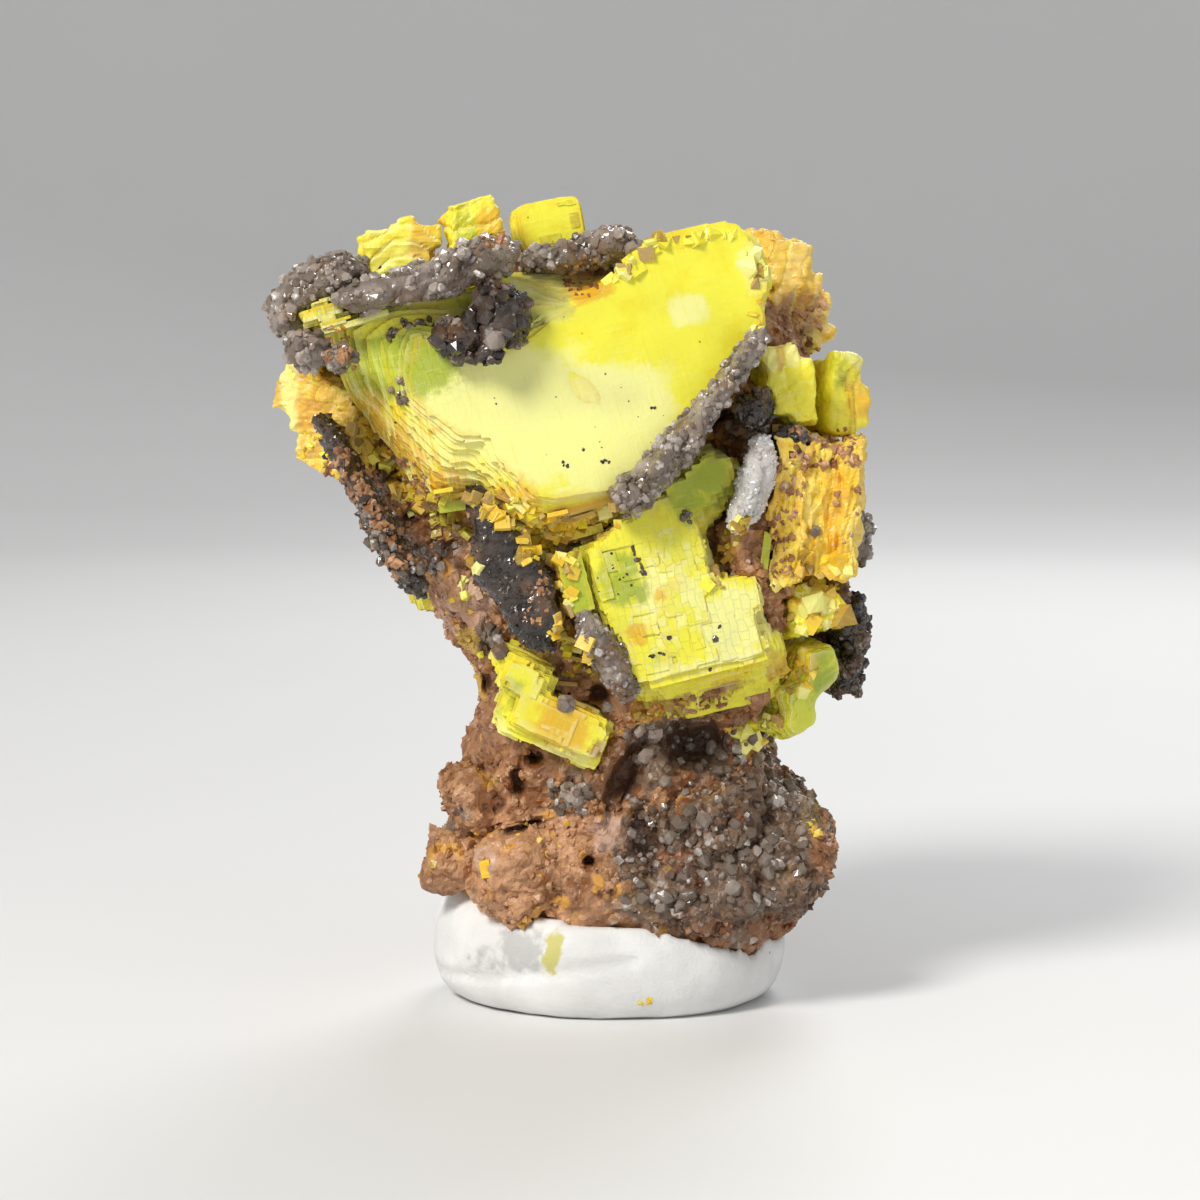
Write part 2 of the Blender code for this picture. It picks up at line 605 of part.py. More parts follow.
def make_slab(name):
    """The dark quartz slab and its cutter: four sections, narrower at the worn front and rear edges."""
    xs, zs = zip(*SLAB_OUTLINE)
    middle = Vector((sum(xs) / len(xs), SLAB_FACE_Y, sum(zs) / len(zs)))
    upright = Matrix.Rotation(math.radians(90), 4, "X")
    pair = []
    for suffix, grow in (("", 0.0), ("_room", GAP)):
        rings = []
        for share, inset in ((-1.0, 0.12), (-0.8, 0.0), (-0.15, 0.0), (0.0, 0.2)):
            ring = []
            for x, z in SLAB_OUTLINE:
                arm = Vector((x - middle.x, z - middle.z))
                arm *= (arm.length - inset + grow) / arm.length
                ring.append((arm.x, arm.y, share * SLAB_THICKNESS + grow * (1 if share == 0 else -1)))
            rings.append(ring[::-1] if signed_area(list(SLAB_OUTLINE)) < 0 else ring)
        place = Matrix.Translation(middle) @ upright
        pair.append(object_of(name + suffix, closed_stack(rings), place))
    return pair


def faceted_block(name, centre, radii, facets, grow):
    """A block with flat facets that are spread round it, like broken rock or a group of crystals."""
    rng = random_of(name)
    bm = bmesh.new()
    bmesh.ops.create_cube(bm, size=4.0)
    first = rng.uniform(0, math.tau)
    for i in range(facets):
        height = 1 - (2 * i + 1) / facets
        round_z = first + GOLDEN_ANGLE * i
        facing = Vector((math.cos(round_z), math.sin(round_z), 0)) * math.sqrt(1 - height**2)
        facing.z = height
        facing = (facing + Vector([rng.gauss(0, FACET_STRAY) for _ in range(3)])).normalized()
        cut = bmesh.ops.bisect_plane(
            bm, geom=bm.verts[:] + bm.edges[:] + bm.faces[:], plane_co=facing * rng.uniform(0.8, 1.0),
            plane_no=facing, clear_outer=True,
        )
        rim = [item for item in cut["geom_cut"] if isinstance(item, bmesh.types.BMEdge)]
        if rim:
            bmesh.ops.contextual_create(bm, geom=rim)
    bmesh.ops.scale(bm, vec=[radius + grow for radius in radii], verts=bm.verts)
    bmesh.ops.recalc_face_normals(bm, faces=bm.faces)
    return object_of(name, bm, Matrix.Translation(Vector(centre)))


def make_lump(name, lump):
    """A group of quartz crystals and its cutter."""
    pair = []
    for suffix, grow in (("", 0.0), ("_room", GAP)):
        first, *others = (faceted_block(f"{name}_{i}", *block, grow) for i, block in enumerate(lump.blocks))
        fuse(first, others)
        first.name = name + suffix
        pair.append(first)
    return pair


def rock_level(height):
    """The rock's left, right, front and back at this height."""
    for low, high in zip(ROCK_LEVELS, ROCK_LEVELS[1:]):
        if height <= high[0]:
            t = (height - low[0]) / (high[0] - low[0])
            return [a + (b - a) * t for a, b in zip(low[1:], high[1:])]
    return ROCK_LEVELS[-1][1:]


def rock_point(height, angle, grow):
    """A point on the rock's rough outside."""
    left, right, front, back = rock_level(height)
    middle = Vector(((left + right) / 2, (front + back) / 2, height))
    wide, deep = (right - left) / 2, (back - front) / 2
    square = 0.78
    across = math.copysign(abs(math.cos(angle)) ** square, math.cos(angle))
    inward = math.copysign(abs(math.sin(angle)) ** square, math.sin(angle))
    arm = Vector((wide * across, deep * inward, 0))
    point = middle + arm
    out = arm.normalized()
    push = ROCK_GRAIN * (noise.noise(point * 0.7) + 0.7 * noise.noise(point * 1.7) + 0.4 * noise.cell(point * 0.9))
    for place, width, far in ROCK_KNOBS:
        push += far * math.exp(-(((point - Vector(place)).length / width) ** 2))
    return point + out * (push + grow)


def make_rock(name):
    """The rock and its cutter, from level rings that are domed over at both ends."""
    lowest, highest = ROCK_LEVELS[0][0], ROCK_LEVELS[-1][0]
    steps = round((highest - lowest) / ROCK_LEVEL_SPACING)
    pair = []
    for suffix, grow in (("", 0.0), ("_room", GAP)):
        rings = []
        for k in range(steps + 1):
            height = lowest + (highest - lowest) * k / steps
            shift = grow * (-1 if k == 0 else 1 if k == steps else 0)
            ring = [rock_point(height, math.tau * i / ROCK_COLUMNS, grow) for i in range(ROCK_COLUMNS)]
            rings.append([point + Vector((0, 0, shift)) for point in ring])
        body = object_of(name + suffix, closed_stack(rings, domed=True))
        fuse(body, [faceted_block(f"rock_block_{i}", *block, grow) for i, block in enumerate(ROCK_BLOCKS)])
        pair.append(body)
    return pair


def make_putty(name):
    """The soft blob of putty, flat where it rests."""
    rings = []
    for height_share, size_share in PUTTY_PROFILE:
        ring = []
        for i in range(PUTTY_COLUMNS):
            angle = math.tau * i / PUTTY_COLUMNS
            heading = Vector((math.cos(angle), math.sin(angle), 0))
            bulge = 1 + 0.035 * noise.noise(Vector((heading.x, heading.y, height_share)) * 1.4)
            lift = 1 + 0.14 * -heading.x if height_share > 0.5 else 1
            ring.append((
                PUTTY_HALF_SIZES[0] * heading.x * size_share * bulge,
                PUTTY_HALF_SIZES[1] * heading.y * size_share * bulge,
                PUTTY_HEIGHT * height_share * lift,
            ))
        rings.append(ring)
    place = Matrix.Translation(Vector((*PUTTY_MIDDLE, 0)))
    return object_of(name, closed_stack(rings, domed=True), place)


def box_of(body):
    """The lowest and highest corners of an object in the world."""
    corners = [body.matrix_world @ Vector(corner) for corner in body.bound_box]
    return [min(c[i] for c in corners) for i in range(3)], [max(c[i] for c in corners) for i in range(3)]


def near(first, second):
    """Whether two objects' boxes meet."""
    (low_a, high_a), (low_b, high_b) = box_of(first), box_of(second)
    return all(low_a[i] <= high_b[i] and low_b[i] <= high_a[i] for i in range(3))


def keep_largest(mesh):
    """Drop the crumbs that a cut leaves beside the piece."""
    bm = bmesh.new()
    bm.from_mesh(mesh)
    left = set(bm.verts)
    groups = []
    while left:
        group, edge = set(), [left.pop()]
        while edge:
            vert = edge.pop()
            group.add(vert)
            for link in vert.link_edges:
                other = link.other_vert(vert)
                if other in left:
                    left.remove(other)
                    edge.append(other)
        groups.append(group)
    largest = max(groups, key=len)
    bmesh.ops.delete(bm, geom=[vert for group in groups if group is not largest for vert in group], context="VERTS")
    bm.to_mesh(mesh)
    bm.free()


def fit_around(body, rooms):
    """Cut the room of each neighbour out of a piece."""
    bpy.context.view_layer.update()
    join_or_cut(body, [room for room in rooms if near(body, room)], "DIFFERENCE")
    keep_largest(body.data)


def finish(body, colour, roughness, specimen):
    """Bring a piece to metres, with its material, under the specimen's empty."""
    body.data.transform(Matrix.Scale(MM, 4))
    body.location *= MM
    body.data.materials.append(new_material(body.name, colour, roughness))
    body.parent = specimen


def clear_scene():
    """Remove everything that the scene holds."""
    for old in list(bpy.data.objects):
        bpy.data.objects.remove(old, do_unlink=True)


def main():
    clear_scene()
    specimen = bpy.data.objects.new("uranocircite_specimen", None)
    bpy.context.scene.collection.objects.link(specimen)

    makers = [(name, make_ridge, (ridge,), ridge.colour, 0.3) for name, ridge in RIDGES.items()]
    makers += [(name, make_lump, (lump,), lump.colour, 0.25) for name, lump in LUMPS.items()]
    makers += [("dark_quartz_slab", make_slab, (), DARK_QUARTZ, 0.35)]
    makers += [(name, make_book, (book,), book.colour, 0.35) for name, book in BOOKS.items()]
    makers += [("matrix_rock", make_rock, (), ROCK, 0.85)]

    rooms = []
    pieces = []
    for name, make, shape, colour, roughness in makers:
        body, room = make(name, *shape)
        room.hide_render = True
        room.display_type = "WIRE"
        fit_around(body, rooms)
        rooms.append(room)
        pieces.append((body, colour, roughness))
    putty = make_putty("mounting_putty")
    fit_around(putty, rooms)
    putty.data.shade_smooth()
    pieces.append((putty, PUTTY, 0.6))
    for piece in pieces:
        finish(*piece, specimen)
    for room in rooms:
        bpy.data.objects.remove(room, do_unlink=True)


main()
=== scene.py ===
import json
import math
import zlib
from collections import namedtuple

import bmesh
import bpy
import numpy as np
from mathutils import Matrix, Vector, geometry

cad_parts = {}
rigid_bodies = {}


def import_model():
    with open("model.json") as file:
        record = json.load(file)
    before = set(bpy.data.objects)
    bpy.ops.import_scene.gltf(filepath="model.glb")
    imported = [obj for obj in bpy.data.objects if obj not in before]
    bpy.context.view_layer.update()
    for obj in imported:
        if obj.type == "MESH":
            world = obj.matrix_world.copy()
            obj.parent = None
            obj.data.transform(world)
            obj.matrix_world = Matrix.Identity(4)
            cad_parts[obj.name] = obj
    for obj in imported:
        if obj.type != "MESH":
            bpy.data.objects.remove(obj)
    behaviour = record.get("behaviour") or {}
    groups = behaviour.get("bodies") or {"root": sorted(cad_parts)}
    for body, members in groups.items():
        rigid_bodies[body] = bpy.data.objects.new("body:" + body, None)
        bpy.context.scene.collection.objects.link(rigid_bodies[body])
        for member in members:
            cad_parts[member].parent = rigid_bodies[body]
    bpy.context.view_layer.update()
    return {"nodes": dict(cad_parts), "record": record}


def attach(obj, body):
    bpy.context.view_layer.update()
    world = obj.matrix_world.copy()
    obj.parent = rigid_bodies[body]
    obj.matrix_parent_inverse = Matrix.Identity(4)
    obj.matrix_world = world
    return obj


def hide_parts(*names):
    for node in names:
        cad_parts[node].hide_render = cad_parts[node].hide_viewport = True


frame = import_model()

# Shapes are worked out in millimetres, in the frame's axes, and brought to metres when a piece is finished.
MM = 0.001

# Colours are linear RGB with alpha.
PALE_LEMON = (0.95, 0.93, 0.31, 1)
LEMON = (0.92, 0.86, 0.045, 1)
YELLOW = (0.88, 0.74, 0.012, 1)
OLIVE = (0.34, 0.44, 0.015, 1)
GREENISH = (0.72, 0.76, 0.03, 1)
GREY_GREEN = (0.50, 0.56, 0.20, 1)
AMBER = (0.82, 0.42, 0.015, 1)
GOLD = (0.80, 0.55, 0.10, 1)
RUST = (0.26, 0.085, 0.018, 1)
CREAM = (0.93, 0.86, 0.52, 1)
MOSS = (0.13, 0.15, 0.008, 1)
BROWN_ROCK = (0.22, 0.095, 0.038, 1)
TAN_ROCK = (0.46, 0.24, 0.115, 1)
ORANGE_ROCK = (0.40, 0.19, 0.075, 1)
PEACH_ROCK = (0.66, 0.36, 0.19, 1)
PINK_ROCK = (0.58, 0.40, 0.31, 1)
BUFF_ROCK = (0.74, 0.62, 0.42, 1)
# Near-black painted shade for the rock's hollows and pits.
PAINTED_HOLLOW_SHADE = (0.05, 0.02, 0.01, 1)
DARK_ROCK = (0.05, 0.03, 0.018, 1)
GREY_ROCK = (0.13, 0.105, 0.085, 1)
UMBER_GRAIN = (0.16, 0.095, 0.05, 1)
GREY_GRAIN = (0.26, 0.23, 0.21, 1)
LIGHT_GRAIN = (0.48, 0.46, 0.44, 1)
SMOKY = (0.15, 0.108, 0.075, 1)
DARK_SMOKY = (0.09, 0.06, 0.045, 1)
VIOLET_GREY = (0.40, 0.335, 0.29, 1)
NEAR_BLACK = (0.014, 0.010, 0.008, 1)
# Near-white painted glints on quartz grains.
GLINT_WHITE = (0.80, 0.78, 0.76, 1)
QUARTZ_RUST = (0.30, 0.14, 0.05, 1)
# The pale quartz's milky grey and white: partly the quartz's own pale colour, partly a painted sheen of
# reflected light on the druse.
MILKY_SHEEN_GREY = (0.62, 0.6, 0.58, 1)
MILKY_SHEEN_WHITE = (0.92, 0.91, 0.9, 1)
PUTTY_WHITE = (0.82, 0.82, 0.81, 1)
PUTTY_SHADE = (0.70, 0.70, 0.685, 1)
SMUDGE_GREY = (0.34, 0.34, 0.33, 1)
STREAK_GREEN = (0.55, 0.50, 0.04, 1)
FLOOR_PALE = (0.76, 0.76, 0.755, 1)
FLOOR_PALER = (0.79, 0.79, 0.785, 1)

# The specimen's upright axis, which crystals stand out from.
ROCK_AXIS = Vector((0.6, 1.6, 0.0))

# Heights as seen from the front are those of the plane at this depth. What is seen at one height lies lower
# by the fall, for each millimetre to the rear. A line of sight starts well in front of the specimen.
FRONT = -3.7
SIGHT_FALL = 0.105
SIGHT_START = -12.0

# What lies farther to the rear than this has no patches of colour.
REAR = 2.0

# Crystals: the spacing of the grid that their sheets are traced on, how many of its steps lie between the
# points across a bare sheet, how far a sheet reaches into the one under it, and how far the sheets' square
# edges are drawn to uneven steps.
GRID = 0.06
POINT_STRIDE = 3
OVERLAP = 0.008
SQUARENESS = 0.85

# The finest cell that rounded crystals and quartz, the rock, and the putty are remeshed with.
CRYSTAL_CELL = 0.07
ROCK_CELL = 0.1
PUTTY_CELL = 0.16

# How a crystal of thin sheets has grown: the sheets' thickness, how ragged and how square their edges are,
# how far its front is rounded off, how many thin part sheets lie on its face, and how many sheets at most
# end together.
Growth = namedtuple("Growth", "sheet ragged square rounded parts together")

USUAL_GROWTH = Growth(0.075, 0.04, 0.12, 0.22, 1, 4)
GROWTHS = {
    "main_crystal": Growth(0.05, 0.012, 0.05, 0.0, 0, 2),
    "lower_crystal": Growth(0.05, 0.025, 0.14, 0.0, 2, 4),
    "upper_left_crystal": Growth(0.06, 0.03, 0.2, 0.05, 2, 4),
    "top_right_crystal": Growth(0.07, 0.015, 0.0, 0.12, 1, 4),
    "lower_right_blades": Growth(0.08, 0.04, 0.0, 0.2, 1, 3),
}

# Crystals that are grown together to rounded masses: how soft their corners are, how bumpy they are, and how
# wide and how deep the grooves between their plates are.
Mass = namedtuple("Mass", "soft bumpy groove depth")

MASSES = {
    "left_edge_crystal": Mass(14, 0.11, 0.30, 0.03),
    "top_left_crystal": Mass(14, 0.06, 0.35, 0.02),
    "top_middle_crystal": Mass(12, 0.06, 0.26, 0.03),
    "back_right_crystal": Mass(20, 0.11, 0.45, 0.02),
    "right_crystal": Mass(18, 0.07, 0.40, 0.02),
    "far_right_crystal": Mass(20, 0.06, 0.45, 0.015),
    "right_foliated_crystal": Mass(16, 0.14, 0.15, 0.05),
    "right_side_crystal": Mass(14, 0.12, 0.30, 0.03),
    "underside_crystal": Mass(10, 0.10, 0.30, 0.03),
    "rear_upper_crystal": Mass(6, 0.08, 0.22, 0.04),
}

# The outlines of the two large crystals as seen from the front, (x, z), rear sheet first, and at which share
# of the crystal's thickness each lies.
OUTLINES = {
    "main_crystal": (
        (0.0, (
            (-5.85, 16.95), (-5.62, 15.84), (-5.28, 15.06), (-4.82, 14.46), (-4.33, 13.85), (-3.90, 13.12),
            (-3.51, 12.64), (-3.22, 12.32), (-2.49, 12.45), (-2.15, 12.57), (-1.84, 12.28), (-1.40, 11.96),
            (-0.94, 11.74), (-0.34, 11.55), (0.65, 11.77), (0.90, 12.20), (1.72, 12.95), (2.57, 13.97),
            (3.37, 15.01), (4.43, 16.32), (4.62, 16.63), (4.53, 17.36), (4.72, 17.97), (4.65, 18.40),
            (4.36, 19.01), (3.75, 19.39), (2.98, 19.27), (1.82, 19.01), (1.36, 18.64), (0.75, 18.06),
            (-0.22, 18.21), (-1.67, 18.16), (-2.15, 17.85), (-3.49, 17.60), (-4.50, 17.45),
        )),
        (0.55, (
            (-5.70, 16.90), (-5.42, 15.74), (-5.16, 15.18), (-4.62, 14.70), (-4.09, 14.09), (-3.61, 13.56),
            (-3.12, 13.17), (-2.59, 13.17), (-2.20, 13.08), (-1.86, 12.64), (-1.48, 12.28), (-1.07, 12.15),
            (-0.46, 12.11), (0.07, 12.20), (0.70, 12.45), (1.11, 12.59), (2.20, 13.73), (3.29, 15.06),
            (4.31, 16.39), (4.55, 16.68), (4.50, 17.48), (4.67, 17.97), (4.58, 18.35), (4.33, 18.93),
            (3.75, 19.32), (2.98, 19.20), (1.82, 18.93), (1.36, 18.52), (0.80, 17.87), (0.39, 17.48),
            (-0.31, 17.36), (-1.19, 17.72), (-1.67, 18.01), (-2.15, 17.72), (-3.12, 17.40), (-4.40, 17.30),
        )),
        (1.0, (
            (-3.66, 15.96), (-3.75, 15.54), (-3.78, 15.11), (-3.41, 14.77), (-3.03, 14.48), (-2.66, 14.21),
            (-1.91, 14.21), (-1.84, 13.92), (-1.77, 13.63), (-1.53, 13.41), (-1.28, 13.22), (-1.11, 13.00),
            (-0.97, 12.78), (-0.46, 12.71), (0.15, 12.81), (0.85, 12.91), (1.72, 13.56), (2.69, 14.70),
            (4.02, 16.15), (4.38, 16.63), (4.43, 17.05), (4.33, 17.38), (4.50, 17.72), (4.55, 18.09),
            (4.43, 18.40), (4.19, 18.69), (4.02, 18.98), (3.70, 19.23), (2.98, 19.13), (2.20, 18.98),
            (1.82, 18.81), (1.28, 18.40), (0.92, 17.97), (0.70, 17.55), (0.27, 17.34), (-0.17, 17.05),
            (-0.58, 16.76), (-0.94, 16.39), (-1.31, 16.22), (-1.67, 16.08), (-2.40, 15.91), (-3.12, 16.22),
            (-3.66, 16.39),
        )),
    ),
    "lower_crystal": (
        (0.0, (
            (-0.10, 11.62), (-0.31, 11.48), (-0.36, 10.70), (-0.07, 9.98), (0.51, 9.69), (0.94, 9.01),
            (1.28, 8.14), (1.62, 7.75), (2.64, 7.41), (3.90, 7.65), (4.87, 7.87), (5.04, 8.40), (5.11, 8.96),
            (4.92, 9.54), (4.62, 10.10), (4.43, 10.82), (3.54, 10.99), (3.27, 11.43), (3.10, 11.91),
            (3.90, 12.83), (4.09, 13.56), (3.17, 14.09), (2.08, 13.37), (0.75, 12.15),
        )),
        (0.6, (
            (0.07, 11.55), (-0.19, 11.38), (-0.17, 10.46), (0.12, 10.12), (0.65, 9.93), (1.02, 9.25),
            (1.23, 8.72), (1.53, 8.18), (2.20, 8.04), (3.17, 8.35), (4.26, 8.67), (4.92, 8.96), (4.96, 9.25),
            (4.62, 9.61), (4.33, 9.90), (4.48, 10.27), (4.33, 10.77), (3.75, 10.87), (3.27, 10.94),
            (3.10, 11.53), (2.93, 11.91), (3.54, 12.64), (3.90, 13.12), (3.95, 13.61), (3.17, 13.90),
            (2.32, 13.17), (1.23, 12.28),
        )),
        (1.0, (
            (0.51, 11.55), (0.56, 10.82), (0.65, 10.05), (0.90, 9.69), (1.09, 9.32), (1.26, 8.89),
            (1.43, 8.47), (1.72, 8.38), (2.93, 8.67), (4.09, 8.89), (4.53, 9.06), (4.31, 9.61), (4.16, 9.90),
            (4.38, 10.19), (4.24, 10.75), (3.80, 10.82), (3.32, 10.75), (2.98, 11.14), (3.10, 11.53),
            (2.88, 11.91), (2.74, 12.28), (3.17, 12.64), (3.61, 13.12), (3.75, 13.56), (3.17, 13.73),
            (2.45, 13.12), (1.72, 12.52), (0.87, 11.91),
        )),
    ),
}

# Blades and blocks that stand on a crystal's face: the crystal, middle (x, z) as seen from the front,
# half-sizes, turn in degrees, and how far they stand out, from and to.
Shelf = namedtuple("Shelf", "crystal x z wide tall turn low high")

SHELVES = (
    Shelf("lower_crystal", 0.02, 10.72, 0.30, 0.72, 14, -0.6, 0.12),
    Shelf("lower_crystal", 0.62, 10.9, 0.17, 0.62, 14, -0.6, 0.05),
    Shelf("main_crystal", -1.05, 16.7, 0.45, 0.035, 38, -0.1, 0.22),
    Shelf("main_crystal", -1.2, 16.45, 0.5, 0.03, 30, -0.1, 0.12),
    Shelf("main_crystal", -1.35, 16.95, 0.4, 0.03, 70, -0.1, 0.2),
)

# Small pieces that lie on the front: their kind, middle (x, z) as seen from the front, half-sizes of the
# area, turn in degrees, how many, smallest and largest, and the colour. A block is one piece of that size.
Crumbs = namedtuple("Crumbs", "kind x z wide tall turn count smallest largest colour")

CRUMBS = tuple(Crumbs(kind, *row) for kind, rows in (
    ("tablet", (
        (-1.3, 12.25, 1.0, 0.32, -25, 130, 0.14, 0.40, "orange"),
        (-0.75, 11.7, 0.55, 0.45, 0, 70, 0.14, 0.36, "orange"),
        (0.25, 12.1, 0.8, 0.3, 14, 60, 0.12, 0.34, "orange"),
        (-0.2, 10.3, 0.2, 1.1, -8, 36, 0.14, 0.4, "orange"),
        (-2.85, 12.3, 0.6, 0.45, 0, 50, 0.12, 0.32, "brown"),
        (-4.45, 13.5, 0.25, 1.3, 36, 90, 0.12, 0.34, "orange"),
        (2.6, 7.7, 1.2, 0.12, 14, 30, 0.12, 0.3, "brown"),
        (0.1, 8.9, 0.4, 0.5, 0, 30, 0.14, 0.4, "orange"),
        (3.6, 11.4, 0.2, 0.9, -20, 40, 0.12, 0.34, "brown"),
    )),
    ("nugget", (
        (4.25, 18.1, 0.3, 0.4, 0, 9, 0.4, 0.8, "pale"),
        (2.9, 18.85, 1.3, 0.1, 8, 18, 0.3, 0.6, "plain"),
        (4.3, 17.0, 0.12, 0.4, 0, 8, 0.25, 0.5, "orange"),
    )),
    ("tablet", ((1.4, 18.2, 0.9, 0.1, 40, 14, 0.2, 0.45, "plain"),)),
    ("nugget", (
        (4.43, 7.05, 0.55, 0.35, 0, 22, 0.4, 0.8, "pale"),
        (5.9, 10.6, 0.6, 1.0, 0, 22, 0.4, 1.0, "orange"),
        (5.8, 10.3, 0.6, 1.0, 0, 14, 0.4, 0.9, "pale"),
        (5.4, 8.4, 0.35, 0.35, 0, 12, 0.3, 0.7, "orange"),
        (-2.3, 11.1, 0.1, 0.12, 40, 3, 0.42, 0.5, "pale"),
        (-2.7, 10.75, 0.1, 0.15, 0, 3, 0.38, 0.45, "pale"),
        (-2.7, 10.3, 0.15, 0.1, 0, 2, 0.3, 0.35, "pale"),
        (-3.0, 9.4, 0.9, 1.0, -20, 14, 0.15, 0.3, "orange"),
        (-1.0, 4.0, 1.5, 0.9, 0, 10, 0.12, 0.3, "orange"),
        (5.8, 4.7, 0.3, 0.3, 0, 6, 0.2, 0.4, "orange"),
        (-3.55, 3.9, 0.12, 0.1, 0, 3, 0.25, 0.35, "pale"),
        (1.67, 0.58, 0.16, 0.05, 10, 5, 0.2, 0.3, "orange"),
        (-5.9, 13.3, 0.4, 1.3, 30, 30, 0.15, 0.4, "orange"),
    )),
    ("block", (
        (-3.1, 12.9, 0.24, 0.05, 10, 1, 0.4, 0, "orange"),
        (-2.7, 12.82, 0.24, 0.05, 8, 1, 0.4, 0, "brown"),
        (-2.9, 12.54, 0.34, 0.13, 8, 1, 0.4, 0, "green"),
        (-0.4, 12.36, 0.26, 0.05, 13, 1, 0.4, 0, "orange"),
        (0.2, 12.3, 0.30, 0.06, 17, 1, 0.4, 0, "brown"),
        (0.19, 11.93, 0.5, 0.11, 15, 1, 0.45, 0, "brown"),
        (0.72, 12.4, 0.17, 0.16, 12, 1, 0.4, 0, "orange"),
        (-0.5, 8.72, 0.05, 0.3, 15, 1, 0.4, 0, "pale"),
        (-0.17, 8.3, 0.25, 0.05, -5, 1, 0.4, 0, "pale"),
        (-0.12, 9.37, 0.28, 0.05, -20, 1, 0.4, 0, "orange"),
        (-0.1, 9.13, 0.27, 0.06, -12, 1, 0.4, 0, "brown"),
        (-0.07, 8.93, 0.25, 0.05, -16, 1, 0.4, 0, "orange"),
        (4.56, 11.5, 0.1, 0.45, -8, 1, 0.3, 0, "green"),
        (-2.16, 3.8, 0.13, 0.22, 10, 1, 0.3, 0, "orange"),
    )),
    ("grain", (
        (-4.75, 12.4, 0.45, 1.6, 32, 170, 0.14, 0.42, "rock"),
        (-3.6, 12.6, 0.45, 1.2, 34, 120, 0.12, 0.36, "rock"),
        (-1.8, 18.77, 0.35, 0.3, 0, 30, 0.12, 0.3, "rock"),
        (0.2, 18.0, 0.4, 0.5, 0, 40, 0.1, 0.26, "rock"),
        (5.9, 14.0, 0.8, 0.5, 0, 60, 0.16, 0.42, "rock"),
        (4.95, 12.0, 0.4, 1.6, -8, 64, 0.14, 0.36, "rock"),
        (5.6, 17.0, 0.5, 0.7, 0, 60, 0.15, 0.4, "rock"),
        (2.3, 7.65, 1.4, 0.2, 14, 110, 0.14, 0.36, "rock"),
        (-0.55, 11.0, 0.25, 1.4, -20, 60, 0.12, 0.3, "rock"),
        (-5.4, 16.2, 0.3, 0.5, 0, 30, 0.12, 0.32, "rock"),
        (6.5, 12.0, 0.4, 1.0, 0, 10, 0.16, 0.3, "rock"),
    )),
    ("quartz", (
        (-0.19, 7.87, 0.1, 0.12, 0, 3, 0.4, 0.5, "quartz"),
        (0.82, 7.65, 0.08, 0.1, 0, 2, 0.3, 0.4, "quartz"),
        (-1.89, 9.32, 0.18, 0.3, 0, 8, 0.25, 0.45, "quartz"),
        (-1.82, 16.3, 0.02, 0.02, 0, 1, 0.55, 0.55, "quartz"),
        (-4.0, 15.16, 0.3, 0.2, -45, 14, 0.1, 0.26, "quartz"),
        (-4.2, 16.5, 0.12, 0.08, 0, 4, 0.15, 0.25, "quartz"),
        (-5.3, 16.15, 0.15, 0.2, 0, 6, 0.15, 0.3, "quartz"),
        (-3.37, 16.8, 0.7, 0.1, 4, 40, 0.1, 0.24, "quartz"),
        (5.7, 11.96, 0.05, 0.05, 0, 2, 0.25, 0.3, "quartz"),
        (-0.1, 5.5, 0.5, 0.35, 0, 40, 0.15, 0.4, "quartz"),
        (1.2, 13.0, 0.25, 0.12, 30, 14, 0.12, 0.26, "quartz"),
        (2.65, 12.25, 0.1, 0.15, 0, 5, 0.15, 0.25, "quartz"),
        (-4.7, 11.6, 0.4, 0.9, 30, 40, 0.12, 0.32, "quartz"),
        (-3.5, 11.3, 0.4, 0.3, 0, 30, 0.12, 0.34, "quartz"),
        (3.4, 5.0, 2.2, 2.2, 0, 230, 0.12, 0.5, "quartz"),
    )),
    ("flake", (
        (0.22, 13.80, 0.05, 0.05, 0, 2, 0.09, 0.12, "quartz"),
        (0.75, 13.56, 0.1, 0.04, 20, 3, 0.09, 0.14, "quartz"),
        (-0.22, 13.49, 0.12, 0.05, -20, 4, 0.07, 0.12, "quartz"),
        (1.84, 14.82, 0.1, 0.05, 20, 2, 0.08, 0.1, "quartz"),
        (-4.16, 14.48, 0.02, 0.02, 0, 1, 0.09, 0.1, "quartz"),
        (-4.58, 18.14, 0.02, 0.02, 0, 1, 0.12, 0.13, "quartz"),
        (-1.6, 19.71, 0.06, 0.04, 0, 2, 0.16, 0.2, "quartz"),
        (1.5, 11.26, 0.03, 0.38, 23, 12, 0.12, 0.2, "quartz"),
        (3.37, 9.35, 0.05, 0.03, 0, 2, 0.16, 0.22, "quartz"),
        (2.25, 9.39, 0.04, 0.03, 0, 1, 0.14, 0.18, "quartz"),
        (3.44, 9.64, 0.05, 0.03, 0, 1, 0.14, 0.18, "quartz"),
        (3.22, 8.64, 0.05, 0.02, 0, 1, 0.12, 0.16, "quartz"),
        (2.02, 9.01, 0.28, 0.04, 14, 6, 0.1, 0.18, "quartz"),
        (1.0, 10.9, 0.5, 0.5, 0, 10, 0.05, 0.09, "quartz"),
        (0.0, 14.6, 2.2, 1.2, 0, 12, 0.03, 0.06, "quartz"),
    )),
) for row in rows)

